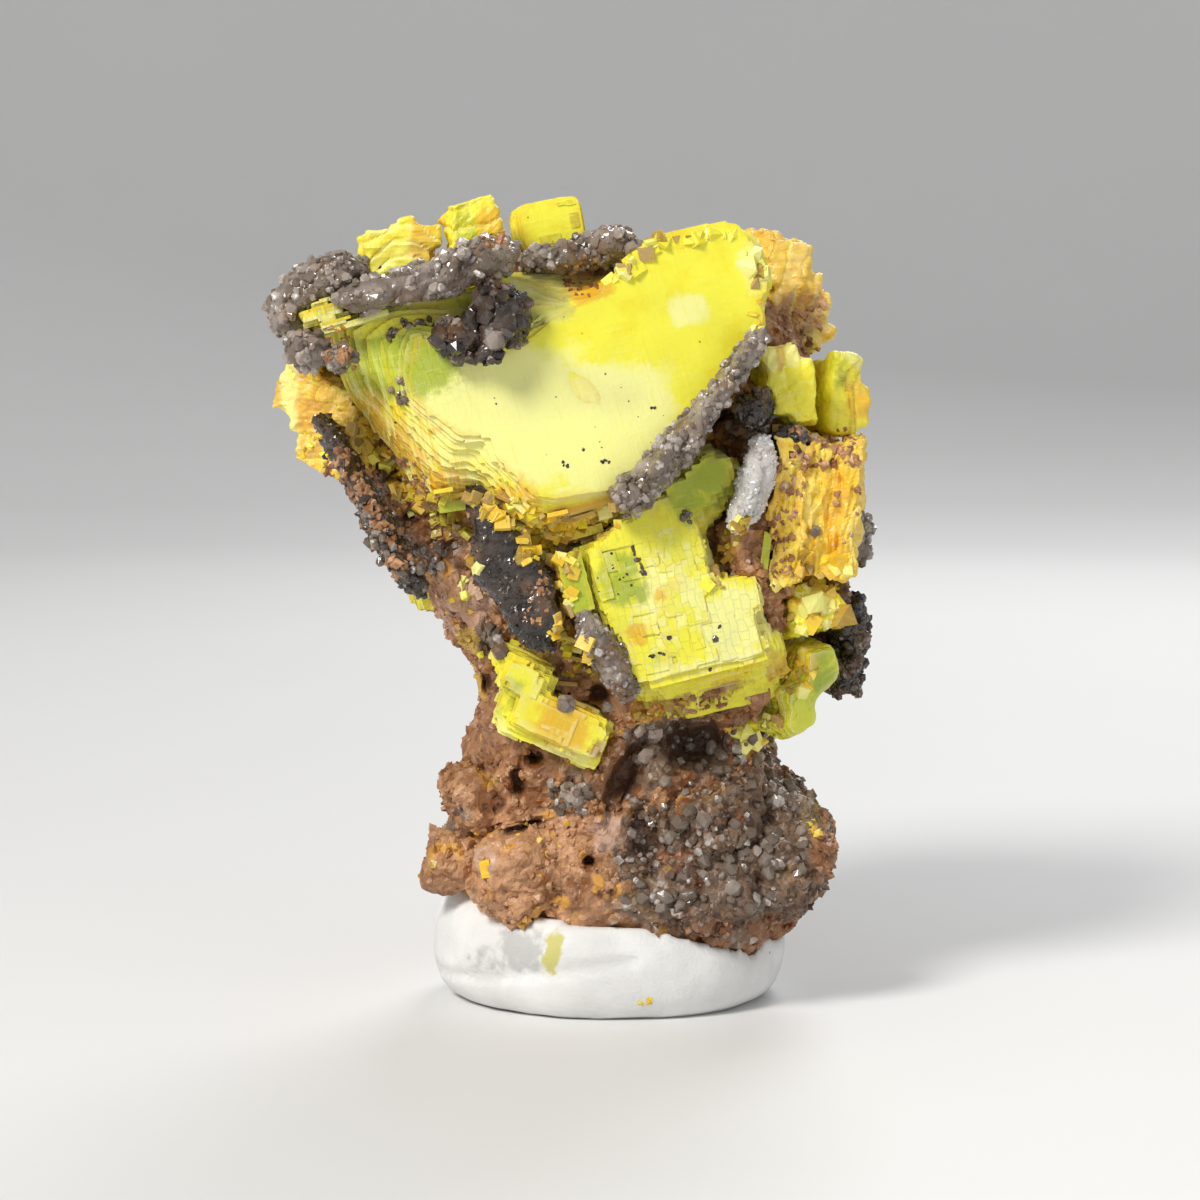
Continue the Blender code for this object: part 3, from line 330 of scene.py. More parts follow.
# Patches of colour, as seen from the front: middle x and z, half-sizes, turn in degrees, and how strong.
CRYSTAL_PATCHES = {
    # Pale lemon: partly the crystals' own pale colour, partly a painted highlight where the light falls
    # brightest.
    "pale": (
        (-0.9, 14.7, 2.7, 1.45, -8, 1.0), (1.2, 14.2, 0.9, 1.6, -20, 0.9), (2.7, 17.1, 0.5, 0.4, 16, 0.7),
        (4.2, 18.2, 0.4, 0.7, 16, 0.6), (2.4, 10.6, 1.3, 1.3, 14, 0.55), (4.0, 9.9, 1.0, 0.7, 14, 0.9),
        (3.2, 8.8, 1.3, 0.2, 14, 0.9), (5.0, 16.1, 0.8, 0.35, 8, 0.9), (-1.75, 6.9, 0.25, 0.9, 26, 0.9),
        (-0.4, 6.5, 0.8, 0.2, -10, 0.8), (-6.8, 15.2, 0.25, 1.4, 0, 0.7), (6.9, 16.0, 0.5, 0.3, -30, 0.8),
        (-4.5, 19.1, 0.5, 0.2, 20, 0.6),
    ),
    # Olive: partly the crystals' own green tint, partly painted shade, as under the main crystal's overhang
    # on the lower crystal.
    "green": (
        (-4.1, 15.9, 1.35, 0.7, 12, 1.0), (0.1, 10.8, 0.36, 0.9, 14, 1.0), (1.1, 10.9, 0.5, 0.7, 14, 0.75),
        (3.0, 13.0, 0.9, 0.8, 14, 0.75), (-5.0, 17.2, 0.9, 0.35, 8, 0.7), (-2.7, 17.3, 0.4, 0.3, 8, 0.5),
        (-2.6, 19.1, 0.3, 0.6, 16, 0.55), (-1.6, 8.0, 0.35, 0.7, -24, 0.5), (5.6, 8.3, 0.9, 0.9, 30, 0.55),
        (6.4, 15.6, 0.3, 0.5, 0, 0.5), (2.2, 9.0, 0.5, 0.2, 14, 0.35),
    ),
    "grey_green": ((-0.95, 17.4, 0.8, 0.6, 16, 1.0), (1.2, 13.0, 0.5, 0.25, 16, 0.3)),
    "orange": (
        (-4.2, 13.9, 0.5, 1.5, 35, 0.7), (-3.2, 12.9, 0.6, 0.5, 16, 0.8), (-1.5, 12.5, 0.7, 0.6, 16, 0.75),
        (0.2, 12.3, 1.0, 0.35, 16, 0.8), (0.4, 17.6, 0.5, 0.25, 16, 0.9), (1.5, 9.5, 0.22, 0.25, 14, 0.9),
        (2.0, 10.4, 0.12, 0.14, 14, 0.9), (5.2, 8.7, 0.7, 0.5, 14, 0.6), (-0.2, 7.3, 0.7, 0.6, -24, 0.7),
        (-3.5, 18.7, 0.45, 0.7, 10, 0.75), (-1.95, 19.0, 0.35, 0.6, 0, 0.75),
        (4.9, 16.0, 0.12, 0.4, 0, 0.6), (5.5, 17.6, 0.9, 0.9, 0, 0.35), (7.0, 15.0, 0.4, 0.6, 0, 0.7),
        (-3.25, 14.35, 0.2, 0.1, 16, 0.8), (2.7, 18.6, 0.5, 0.15, 16, 0.4), (5.5, 10.6, 0.5, 0.7, 0, 0.6),
        (-6.2, 15.0, 0.5, 1.0, 0, 0.6),
    ),
    "brown": (
        (-2.9, 12.3, 0.5, 0.16, 16, 0.8), (0.25, 11.85, 0.8, 0.2, 16, 0.8),
        (0.2, 18.1, 0.4, 0.35, 16, 1.0), (-1.65, 19.55, 0.12, 0.1, 0, 1.0), (5.6, 17.0, 0.5, 0.5, 0, 0.9),
        (2.6, 7.8, 1.8, 0.2, 14, 0.7), (3.2, 14.3, 0.7, 0.15, 35, 0.4), (0.7, 6.6, 0.4, 0.3, -24, 0.6),
        (-2.1, 17.3, 0.5, 0.12, 10, 0.7),
    ),
    "mosaic": (
        (-4.1, 15.9, 1.7, 1.0, 12, 1.0), (-5.0, 17.1, 1.3, 0.6, 8, 1.0), (2.8, 10.0, 2.3, 2.0, 14, 1.0),
        (-2.6, 17.3, 0.8, 0.5, 8, 0.7),
    ),
    "fibre": ((-3.9, 14.0, 0.8, 1.7, 38, 1.0), (-1.7, 12.7, 0.7, 0.6, 16, 0.6)),
}

ROCK_PATCHES = {
    "dark": (
        (4.0, 4.0, 2.3, 2.0, 0, 0.9), (2.9, 6.6, 1.3, 0.8, 0, 0.9), (1.5, 5.2, 0.4, 1.5, -14, 0.8),
        (5.6, 12.0, 0.8, 1.8, 0, 0.5), (-4.7, 12.6, 0.5, 1.6, 32, 0.8), (-3.4, 11.3, 0.7, 0.5, 0, 0.8),
        (6.6, 9.2, 0.7, 1.6, 0, 0.9), (0.4, 9.2, 0.9, 1.2, 0, 0.4), (-2.1, 9.2, 0.25, 0.4, 0, 1.0),
        (0.4, 5.6, 0.9, 0.5, 0, 0.5), (-2.9, 4.6, 0.3, 0.6, 0, 0.5), (4.4, 14.3, 0.9, 0.9, 0, 0.7),
    ),
    "peach": (
        (-1.4, 3.7, 1.6, 1.2, 0, 0.9), (-2.7, 10.3, 1.0, 1.1, 0, 0.8), (-3.3, 4.1, 0.7, 0.7, 0, 0.7),
        (5.8, 4.6, 0.3, 0.6, 0, 0.8), (-4.2, 14.2, 0.5, 1.2, 35, 0.35), (-2.2, 7.3, 0.5, 0.9, 0, 0.5),
    ),
    "pink": (
        (1.0, 4.6, 0.5, 0.45, 0, 1.0), (-2.7, 9.6, 0.8, 0.7, 0, 0.6), (-4.1, 12.8, 0.4, 0.4, 0, 0.8),
        (-2.2, 3.8, 0.25, 0.3, 0, 0.8), (-2.3, 10.5, 0.3, 0.4, 30, 1.0),
    ),
    "ochre": (
        (-2.6, 9.2, 0.3, 0.3, 0, 1.0), (-2.5, 7.8, 0.25, 0.4, 0, 0.9), (-5.2, 12.4, 0.5, 0.7, 30, 0.8),
        (5.8, 4.7, 0.25, 0.3, 0, 1.0), (-1.0, 8.9, 0.4, 0.3, 0, 0.7), (5.3, 11.2, 0.4, 1.2, 0, 0.6),
    ),
}

# Pits and clefts in the rock's front: the same, with how deep each is in place of how strong.
PITS = (
    (1.15, 5.9, 0.35, 1.0, -24, 0.9), (1.7, 4.3, 0.38, 0.9, 12, 0.6), (2.9, 6.6, 0.8, 0.5, 8, 0.9),
    (-1.0, 6.3, 0.22, 0.16, 0, 0.6), (-1.4, 5.7, 0.16, 0.4, 10, 0.6), (0.36, 3.9, 0.16, 0.14, 0, 0.5),
    (-1.4, 4.6, 0.55, 0.1, 12, 0.45), (-4.3, 13.2, 0.22, 0.3, 20, 0.5), (-3.9, 12.2, 0.2, 0.2, 0, 0.5),
    (-2.2, 11.0, 0.25, 0.2, 0, 0.4), (3.7, 14.4, 0.5, 0.35, 20, 0.5), (5.1, 12.9, 0.22, 0.7, 0, 0.6),
    (5.6, 11.3, 0.16, 0.9, -8, 0.6), (0.5, 7.9, 0.3, 0.25, 0, 0.5), (-2.2, 7.9, 0.12, 0.3, 0, 0.4),
    (4.6, 4.8, 0.3, 0.5, 20, 0.35),
)


def random_of(name):
    """The piece's own random numbers, the same in every run."""
    return np.random.default_rng(zlib.crc32(name.encode()))


class Wire:
    """A node's output. Arithmetic on it adds Math nodes to its tree."""

    def __init__(self, tree, socket):
        self.tree = tree
        self.socket = socket

    def __getitem__(self, name):
        return Wire(self.tree, self.socket.node.outputs[name])

    def maths(self, operation, *terms):
        return self.tree.node("ShaderNodeMath", {"operation": operation}, dict(enumerate(terms)))

    def __add__(self, other):
        return self.maths("ADD", self, other)

    __radd__ = __add__

    def __mul__(self, other):
        return self.maths("MULTIPLY", self, other)

    __rmul__ = __mul__

    def __sub__(self, other):
        return self.maths("SUBTRACT", self, other)

    def __rsub__(self, other):
        return self.maths("SUBTRACT", other, self)

    def __pow__(self, other):
        return self.maths("POWER", self, other)

    def between(self, low, high):
        """0 below low, 1 above high, and smooth from one to the other."""
        values = {"Value": self, "From Min": low, "From Max": high}
        return self.tree.node("ShaderNodeMapRange", {"interpolation_type": "SMOOTHSTEP"}, values)


class Tree:
    """Adds nodes to a material or to a geometry tree."""

    def __init__(self, tree):
        self.tree = tree

    def node(self, kind, settings=None, values=None, output=0):
        """Add a node: its settings first, then the values or links of its sockets."""
        made = self.tree.nodes.new(kind)
        for name, value in (settings or {}).items():
            if name == "stops":
                self.set_stops(made.color_ramp, value)
            else:
                setattr(made, name, value)
        for key, value in (values or {}).items():
            for one in value if isinstance(value, list) else [value]:
                if isinstance(one, Wire):
                    self.tree.links.new(one.socket, made.inputs[key])
                else:
                    made.inputs[key].default_value = one
        return Wire(self, made.outputs[output]) if made.outputs else None

    @staticmethod
    def set_stops(ramp, stops):
        while len(ramp.elements) < len(stops):
            ramp.elements.new(1.0)
        for element, (place, colour) in zip(ramp.elements, stops):
            element.position = place
            element.color = colour

    def mix(self, share, first, second):
        """The first colour where share is 0, the second where it is 1."""
        return self.node("ShaderNodeMix", {"data_type": "RGBA"}, {0: share, 6: first, 7: second}, output=2)

    def layered(self, colour, *layers):
        """Lay colours over each other: how much of each shows, and the colour."""
        for share, tint in layers:
            colour = self.mix(share, colour, tint)
        return colour

    def ramp(self, value, *stops):
        return self.node("ShaderNodeValToRGB", {"stops": stops}, {"Fac": value})

    def noise(self, place, scale, detail=3.0, roughness=0.55):
        values = {"Vector": place, "Scale": scale, "Detail": detail, "Roughness": roughness}
        return self.node("ShaderNodeTexNoise", {}, values)

    def cells(self, place, scale, output=0):
        """How far the nearest cell's middle is, or, as output 1, a colour for each cell."""
        return self.node("ShaderNodeTexVoronoi", {}, {"Vector": place, "Scale": scale}, output)

    def mapped(self, place, scale=(1, 1, 1), turn=0):
        """The place of a pattern, stretched, and turned by some degrees."""
        values = {"Vector": place, "Scale": scale, "Rotation": (0, 0, math.radians(turn))}
        return self.node("ShaderNodeMapping", {}, values)

    def scaled(self, vector, size):
        return self.node("ShaderNodeVectorMath", {"operation": "SCALE"}, {0: vector, "Scale": size})

    def painted(self, name):
        """A number that is kept in the mesh."""
        return self.node("ShaderNodeAttribute", {"attribute_name": name}, output=2)

    def place_mm(self):
        """Object coordinates in millimetres."""
        return self.scaled(self.node("ShaderNodeTexCoord", output=3), 1 / MM)

    def region(self, name, uneven, low, high):
        """Where a painted colour shows, with an uneven border."""
        return (self.painted(name) + uneven).between(low, high)

    def finish(self, colour, roughness, height, depth, **fixed):
        """The Principled shader: its colour, roughness and relief, and what is the same all over."""
        relief = self.node("ShaderNodeBump", {}, {"Height": height, "Distance": depth * MM, "Strength": 1.0})
        values = {"Base Color": colour, "Roughness": roughness, "Normal": relief}
        values.update({name.replace("_", " "): value for name, value in fixed.items()})
        shader = self.node("ShaderNodeBsdfPrincipled", {}, values)
        self.node("ShaderNodeOutputMaterial", {}, {"Surface": shader})


def new_finish(name):
    material = bpy.data.materials.new(name)
    material.use_nodes = True
    material.node_tree.nodes.clear()
    return material, Tree(material.node_tree)


def crystal_finish(name, face, deep):
    """Pearly uranocircite: smooth faces, pale partly from a painted highlight and olive partly from painted
    shade, square cracks, fine streaks, and amber or cream sheet edges.
    """
    material, tree = new_finish(name)
    place = tree.node("ShaderNodeAttribute", {"attribute_name": "crystal"}, output=1)
    cloud = tree.noise(place, 0.9, 2)
    mottle = tree.noise(place, 2.6, 3, 0.6)
    grain = tree.noise(place, 9.0, 2, 0.62)
    fine_along = tree.noise(tree.mapped(place, (0.9, 13.0, 2.0)), 1.0, 2)
    fine_across = tree.noise(tree.mapped(place, (13.0, 0.9, 2.0)), 1.0, 2)
    fibres = tree.noise(tree.mapped(place, (16, 0.5, 1), -22), 1.0, 2)
    sway = tree.node("ShaderNodeTexNoise", {}, {"Vector": place, "Scale": 1.8}, output=1)
    warped = tree.node("ShaderNodeVectorMath", {"operation": "ADD"}, {0: place, 1: tree.scaled(sway, 0.34)})
    blocks = tree.node(
        "ShaderNodeTexBrick", {"offset": 0.41, "offset_frequency": 2, "squash": 0.62, "squash_frequency": 3},
        {
            "Vector": tree.mapped(warped, turn=90), "Color1": (0, 0, 0, 1), "Color2": (1, 1, 1, 1),
            "Mortar": (0.5, 0.5, 0.5, 1), "Scale": 1.0, "Mortar Size": 0.009, "Mortar Smooth": 0.6,
            "Brick Width": 0.38, "Row Height": 0.2,
        },
    )
    crack = blocks["Fac"] * tree.painted("mosaic")
    tone = (blocks["Color"] - 0.5) * tree.painted("mosaic")
    rim = tree.painted("rim")
    fibre = tree.painted("fibre")
    uneven = (cloud - 0.5) * 0.9 + (mottle - 0.5) * 0.9 + (grain - 0.5) * 0.3 + (fine_across - 0.5) * 0.3
    spread = uneven * 0.8 + tone * 0.3
    pale, grey_green, green, orange, brown = (
        tree.region(each, spread, 0.3, 0.7) for each in ("pale", "grey_green", "green", "orange", "brown")
    )
    edge_colour = tree.ramp(
        tree.painted("plate") + (fine_along - 0.5) * 0.5 + (mottle - 0.5) * 0.5,
        (0.05, AMBER), (0.3, YELLOW), (0.5, CREAM), (0.66, GOLD), (0.82, LEMON), (1.0, RUST),
    )
    colour = tree.layered(
        face,
        ((cloud + (mottle - 0.5) * 0.6).between(0.42, 0.72) * 0.8, deep),
        # Where the pale patches lie on the crystals, this is partly a painted highlight.
        (pale * 0.95, PALE_LEMON),
        (grey_green * 0.8, GREY_GREEN),
        # Where the green patches lie on the crystals, this olive is partly painted shade.
        (green * 0.85, OLIVE),
        (orange * 0.8, AMBER),
        (brown * 0.9, RUST),
        (rim * 0.5, edge_colour),
        ((tree.painted("border") + uneven * 0.9).between(0.6, 1.1) * 0.4, edge_colour),
        (fibre * fibres.between(0.52, 0.62) * 0.75, PALE_LEMON),
        (fibre * (1 - fibres).between(0.54, 0.66) * 0.55, AMBER),
        (crack * mottle.between(0.45, 0.6) * 0.5, CREAM),
        (crack * (1 - mottle).between(0.5, 0.62) * 0.2, MOSS),
        (fine_across.between(0.58, 0.7) * 0.22, YELLOW),
        (fine_along.between(0.6, 0.72) * 0.2, PALE_LEMON),
        ((0.07 - tree.cells(place, 2.4)).between(0.0, 0.02) * mottle.between(0.52, 0.6) * 0.8, MOSS),
    )
    height = grain * 0.5 + fine_along * 0.3 + fine_across * 0.4 - crack * mottle * 0.8 + fibre * fibres * 1.2
    tree.finish(
        colour, 0.3 + grain * 0.3 + rim * 0.1, height, 0.02, Subsurface_Weight=0.2,
        Subsurface_Radius=(1.0, 0.85, 0.15), Subsurface_Scale=0.22 * MM, Coat_Weight=0.1, Coat_Roughness=0.2,
        IOR=1.59,
    )
    return material


def rock_finish(name):
    """Sugary brown rock, with a colour for each grain, and painted shade that darkens its hollows and pits.
    """
    material, tree = new_finish(name)
    place = tree.place_mm()
    cloud = tree.noise(place, 0.7, 2)
    broad = tree.noise(place, 0.28, 2)
    grit = tree.noise(place, 9.0, 2, 0.65)
    patchy = tree.noise(place, 2.3, 2, 0.6)
    stain = tree.noise(place, 1.3, 1).between(0.6, 0.7)
    grain = tree.node("ShaderNodeSeparateColor", {}, {"Color": tree.cells(place, 5.5, output=1)})
    tone = grain["Red"] * 0.5 + tree.painted("tint") * 0.55 + (cloud - 0.5) * 1.2 + (patchy - 0.5) * 0.8
    earth = tree.ramp(
        tone, (0.0, RUST), (0.2, BROWN_ROCK), (0.42, TAN_ROCK), (0.6, ORANGE_ROCK), (0.75, PEACH_ROCK),
        (0.9, PINK_ROCK), (1.0, BUFF_ROCK),
    )
    coarse = tree.ramp(
        tone, (0.0, NEAR_BLACK), (0.3, DARK_ROCK), (0.5, GREY_ROCK), (0.68, UMBER_GRAIN), (0.84, GREY_GRAIN),
        (1.0, LIGHT_GRAIN),
    )
    uneven = (cloud - 0.5) * 2.2 + (grit - 0.5) * 0.4 + (patchy - 0.5) * 1.0
    dark, peach, pink, ochre = (
        tree.region(each, uneven, 0.35, 0.75) for each in ("dark", "peach", "pink", "ochre")
    )
    colour = tree.layered(
        earth,
        (broad.between(0.42, 0.62) * 0.5, BROWN_ROCK),
        (peach * 0.45, PEACH_ROCK),
        (pink * 0.6, PINK_ROCK),
        (ochre * 0.7, GOLD),
        (dark * 0.85, coarse),
        (grit.between(0.4, 0.75) * 0.3, BROWN_ROCK),
        (stain * (1 - dark * 0.85) * 0.45, AMBER),
        # Painted shade: near black where the surface lies below its surroundings, and in the pits.
        ((tree.painted("hollow") + (patchy - 0.5) * 0.3).between(0.35, 0.85) * 0.75, PAINTED_HOLLOW_SHADE),
    )
    roughness = 0.38 + grit * 0.4 - grain["Green"] * 0.2
    tree.finish(colour, roughness, grit + patchy * 0.5, 0.035, IOR=1.5, Coat_Weight=0.06, Coat_Roughness=0.2)
    return material


def quartz_finish(name, deep, light, glint_share):
    """Smoky quartz: dark in its depth, paler on some of its grains, with painted near-white glints on others.
    """
    material, tree = new_finish(name)
    place = tree.place_mm()
    cloud = tree.noise(place, 1.1, 2)
    grain = tree.noise(place, 8.0, 2)
    rust = tree.noise(place, 1.4, 1).between(0.56, 0.7)
    tint = tree.painted("tint")
    colour = tree.layered(
        deep,
        ((cloud * 0.9 + tint * 0.55 - 0.1).between(0.3, 0.85), light),
        # Painted glints: near white on some grains, where light would catch them.
        ((grain * 0.7 + tint * 0.5).between(0.74, 0.9) * glint_share, GLINT_WHITE),
        (rust * 0.3, QUARTZ_RUST),
    )
    tree.finish(
        colour, 0.1 + grain * 0.3, grain, 0.012, IOR=1.545, Transmission_Weight=0.15, Coat_Weight=0.25,
        Coat_Roughness=0.06,
    )
    return material


def putty_finish(name):
    """Matt white putty, with a grey smudge and a yellow-green streak."""
    material, tree = new_finish(name)
    place = tree.place_mm()
    cloud = tree.noise(place, 0.7, 3)
    fine = tree.noise(place, 12.0, 3)
    smudge = tree.region("smudge", cloud - 0.5 + (tree.noise(place, 3.5, 3) - 0.5) * 1.4, 0.35, 0.95)
    streak = tree.region("streak", (tree.noise(place, 4.5, 3) - 0.5) * 1.2, 0.4, 0.8)
    colour = tree.layered(
        PUTTY_WHITE,
        (cloud.between(0.3, 0.7), PUTTY_SHADE),
        (smudge * 0.6, SMUDGE_GREY),
        (streak * 0.8, STREAK_GREEN),
        ((0.06 - tree.cells(place, 1.1)).between(0.0, 0.03) * 0.7, BROWN_ROCK),
    )
    tree.finish(
        colour, 0.55 + fine * 0.2, fine * 0.6 + cloud, 0.03, Subsurface_Weight=0.15,
        Subsurface_Radius=(1.0, 0.9, 0.8), Subsurface_Scale=0.3 * MM,
    )
    return material


def merged_copy(node):
    """A CAD node's mesh in millimetres, with its loose triangles joined."""
    bm = bmesh.new()
    bm.from_mesh(frame["nodes"][node].data)
    bmesh.ops.scale(bm, vec=(1 / MM,) * 3, verts=bm.verts)
    bmesh.ops.remove_doubles(bm, verts=bm.verts, dist=0.0005)
    return bm


def to_object(name, bm):
    mesh = bpy.data.meshes.new(name)
    bm.to_mesh(mesh)
    bm.free()
    return shown(name, mesh)


def shown(name, mesh):
    body = bpy.data.objects.new(name, mesh)
    bpy.context.scene.collection.objects.link(body)
    return body


def corners_of(mesh):
    flat = np.empty(len(mesh.vertices) * 3)
    mesh.vertices.foreach_get("co", flat)
    return flat.reshape(-1, 3)


def normals_of(mesh):
    flat = np.empty(len(mesh.vertices) * 3)
    mesh.vertex_normals.foreach_get("vector", flat)
    return flat.reshape(-1, 3)


def move_corners(mesh, points):
    mesh.vertices.foreach_set("co", points.ravel())


def keep(mesh, name, values, domain="POINT", kind="FLOAT"):
    """Store numbers, or vectors, in a mesh."""
    field = "vector" if kind == "FLOAT_VECTOR" else "value"
    attribute = mesh.attributes.new(name, kind, domain)
    attribute.data.foreach_set(field, np.asarray(values, np.float32).ravel())


def in_oblong(dx, dz, turn, wide=1.0, tall=1.0):
    """Places from a turned oblong's middle, across it and up it, in its half-sizes."""
    return (
        (dx * math.cos(turn) + dz * math.sin(turn)) / wide,
        (dz * math.cos(turn) - dx * math.sin(turn)) / tall,
    )


def painted(points, patches):
    """How strongly the patches colour each point, as seen from the front: squarish, with soft borders."""
    total = np.zeros(len(points))
    for x, z, wide, tall, turn, amount in patches:
        a, b = in_oblong(points[:, 0] - x, points[:, 2] - z, math.radians(turn), wide, tall)
        reach = (a**4 + b**4) ** 0.25
        total = np.maximum(total, amount * np.clip(1.6 - reach, 0, 1))
    return total


def paint_crystal(mesh, points):
    """Store how strongly each of the crystals' colours shows at each corner."""
    at_rear = points[:, 1].mean() >= REAR
    for name, patches in CRYSTAL_PATCHES.items():
        keep(mesh, name, np.zeros(len(points)) if at_rear else painted(points, patches))


def finish_piece(body, node, material):
    """Bring a piece to metres, on the body it rides on, in place of its CAD node if it has one."""
    body.data.transform(Matrix.Scale(MM, 4))
    body.data.materials.clear()
    body.data.materials.append(material)
    if node:
        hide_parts(node)
    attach(body, "root")


# Crystals

# A crystal's CAD solid in its own axes, which are across, up, and out of its plates.
Solid = namedtuple("Solid", "middle axes corners triangles")

# The grid in a crystal's own plane: its lines, its points, and how many there are each way.
Lattice = namedtuple("Lattice", "us vs points shape")


def facing_of(bm):
    """A crystal's axes: across, up, and out of its plates, from the directions most of its solid faces."""
    normals = np.array([face.normal for face in bm.faces])
    areas = np.array([face.calc_area() for face in bm.faces])
    middle = np.array([vert.co for vert in bm.verts]).mean(axis=0)

    def most(allowed):
        trial = np.flatnonzero(allowed)
        trial = trial[np.argsort(-areas[trial])[:60]]
        shares = [areas[normals @ normals[i] > 0.9995].sum() for i in trial]
        return normals[trial[int(np.argmax(shares))]]

    outward = np.array([middle[0] - ROCK_AXIS.x, middle[1] - ROCK_AXIS.y, 0.0])
    out = most(np.ones(len(areas), bool))
    out = out if out @ outward > 0 else -out
    side = most(np.abs(normals @ out) < 0.02)
    other = np.cross(out, side)
    up = side if abs(side[2]) > abs(other[2]) else other
    up = up if up[2] > 0 else -up
    return middle, np.array([np.cross(up, out), up, out])


def sliced(solid, level):
    """The edges, in a crystal's own plane, where its CAD solid is cut at one level."""
    corners = solid.corners[solid.triangles]
    above = corners[:, :, 2] > level
    cut = above.any(axis=1) & ~above.all(axis=1)
    edges = []
    for corner, high in zip(corners[cut], above[cut]):
        crossings = []
        for i, j in ((0, 1), (1, 2), (2, 0)):
            if high[i] != high[j]:
                share = (level - corner[i, 2]) / (corner[j, 2] - corner[i, 2])
                crossings.append(corner[i, :2] + share * (corner[j, :2] - corner[i, :2]))
        edges.append(crossings)
    return np.array(edges)


def inside_by(points, edges):
    """How far inside the closed edges each point lies, negative outside."""
    nearest = np.full(len(points), np.inf)
    inside = np.zeros(len(points), bool)
    for start, end in edges:
        edge = end - start
        arm = points - start
        share = np.clip(arm @ edge / max(edge @ edge, 1e-12), 0, 1)
        gap = arm - share[:, None] * edge
        nearest = np.minimum(nearest, (gap**2).sum(axis=1))
        if start[1] != end[1]:
            crosses = (start[1] > points[:, 1]) != (end[1] > points[:, 1])
            inside ^= crosses & (points[:, 0] < start[0] + (points[:, 1] - start[1]) * edge[0] / edge[1])
    return np.where(inside, 1, -1) * np.sqrt(nearest)


def softened(field, rounds):
    """A field averaged over its neighbours, some times."""
    for _ in range(rounds):
        wide = np.pad(field, 1, mode="edge")
        across, upward = wide[:, 1:-1], wide[1:-1]
        field = (field * 2 + across[:-2] + across[2:] + upward[:, :-2] + upward[:, 2:]) / 6
    return field


def ripple(points, size, rng):
    """A smooth unevenness between about -1 and 1, that repeats at no distance."""
    total = np.zeros(len(points))
    for _ in range(6):
        wave = rng.normal(0, 1, points.shape[1])
        wave *= math.tau / (size * np.linalg.norm(wave)) * rng.uniform(0.6, 1.6)
        total += np.sin(points @ wave + rng.uniform(0, math.tau))
    return total / 3


def squared(lattice, step, rng):
    """Numbers of the grid's lines, drawn together in uneven steps, so that an outline runs square."""
    numbers = []
    for line in (lattice.us, lattice.vs):
        steps = rng.uniform(0.3, 2.0, round(3 * (line[-1] - line[0]) / step)) * step
        ends = line[0] - rng.uniform(0, step) + np.cumsum(steps)
        middles = (ends - steps / 2)[np.minimum(np.searchsorted(ends, line), len(ends) - 1)]
        drawn = line + SQUARENESS * (middles - line)
        nearest = np.rint((drawn - line[0]) / (line[1] - line[0])).astype(int)
        numbers.append(np.clip(nearest, 0, len(line) - 1))
    return np.ix_(*numbers)


def rings_of(ahead):
    """The closed rings in a table that says which corner follows which."""
    rings = []
    while ahead:
        start, corner = ahead.popitem()
        ring = [start]
        while corner != start and corner in ahead:
            ring.append(corner)
            corner = ahead.pop(corner)
        rings.append(ring)
    return rings


def traced(field, us, vs):
    """The outer outlines round the part of the grid where the field is positive, clockwise."""
    high = field > 0
    case = high[:-1, :-1] * 1 + high[1:, :-1] * 2 + high[1:, 1:] * 4 + high[:-1, 1:] * 8
    ahead = {}
    place = {}

    def crossing(i, j, axis):
        number = (i * len(vs) + j) * 2 + axis
        if number not in place:
            other = field[i + 1, j] if axis == 0 else field[i, j + 1]
            share = field[i, j] / (field[i, j] - other)
            share = min(max(share, 0.12), 0.88)
            if axis == 0:
                place[number] = (us[i] + share * (us[i + 1] - us[i]), vs[j])
            else:
                place[number] = (us[i], vs[j] + share * (vs[j + 1] - vs[j]))
        return number

    # Which sides of a square the outline runs between (bottom, right, top, left), by its corners inside.
    sides = {
        1: ("bl",), 2: ("rb",), 3: ("rl",), 4: ("tr",), 5: ("bl", "tr"), 6: ("tb",), 7: ("tl",), 8: ("lt",),
        9: ("bt",), 10: ("lt", "rb"), 11: ("rt",), 12: ("lr",), 13: ("br",), 14: ("lb",),
    }
    for i, j in np.argwhere((case > 0) & (case < 15)):
        edge = {"b": (i, j, 0), "r": (i + 1, j, 1), "t": (i, j + 1, 0), "l": (i, j, 1)}
        for start, end in sides[int(case[i, j])]:
            ahead[crossing(*edge[end])] = crossing(*edge[start])
    loops = []
    for ring in rings_of(ahead):
        loop = np.array([place[number] for number in ring])
        after = np.roll(loop, -1, axis=0)
        if len(loop) > 5 and (loop[:, 0] * after[:, 1] - loop[:, 1] * after[:, 0]).sum() < -0.03:
            loops.append(loop)
    return loops


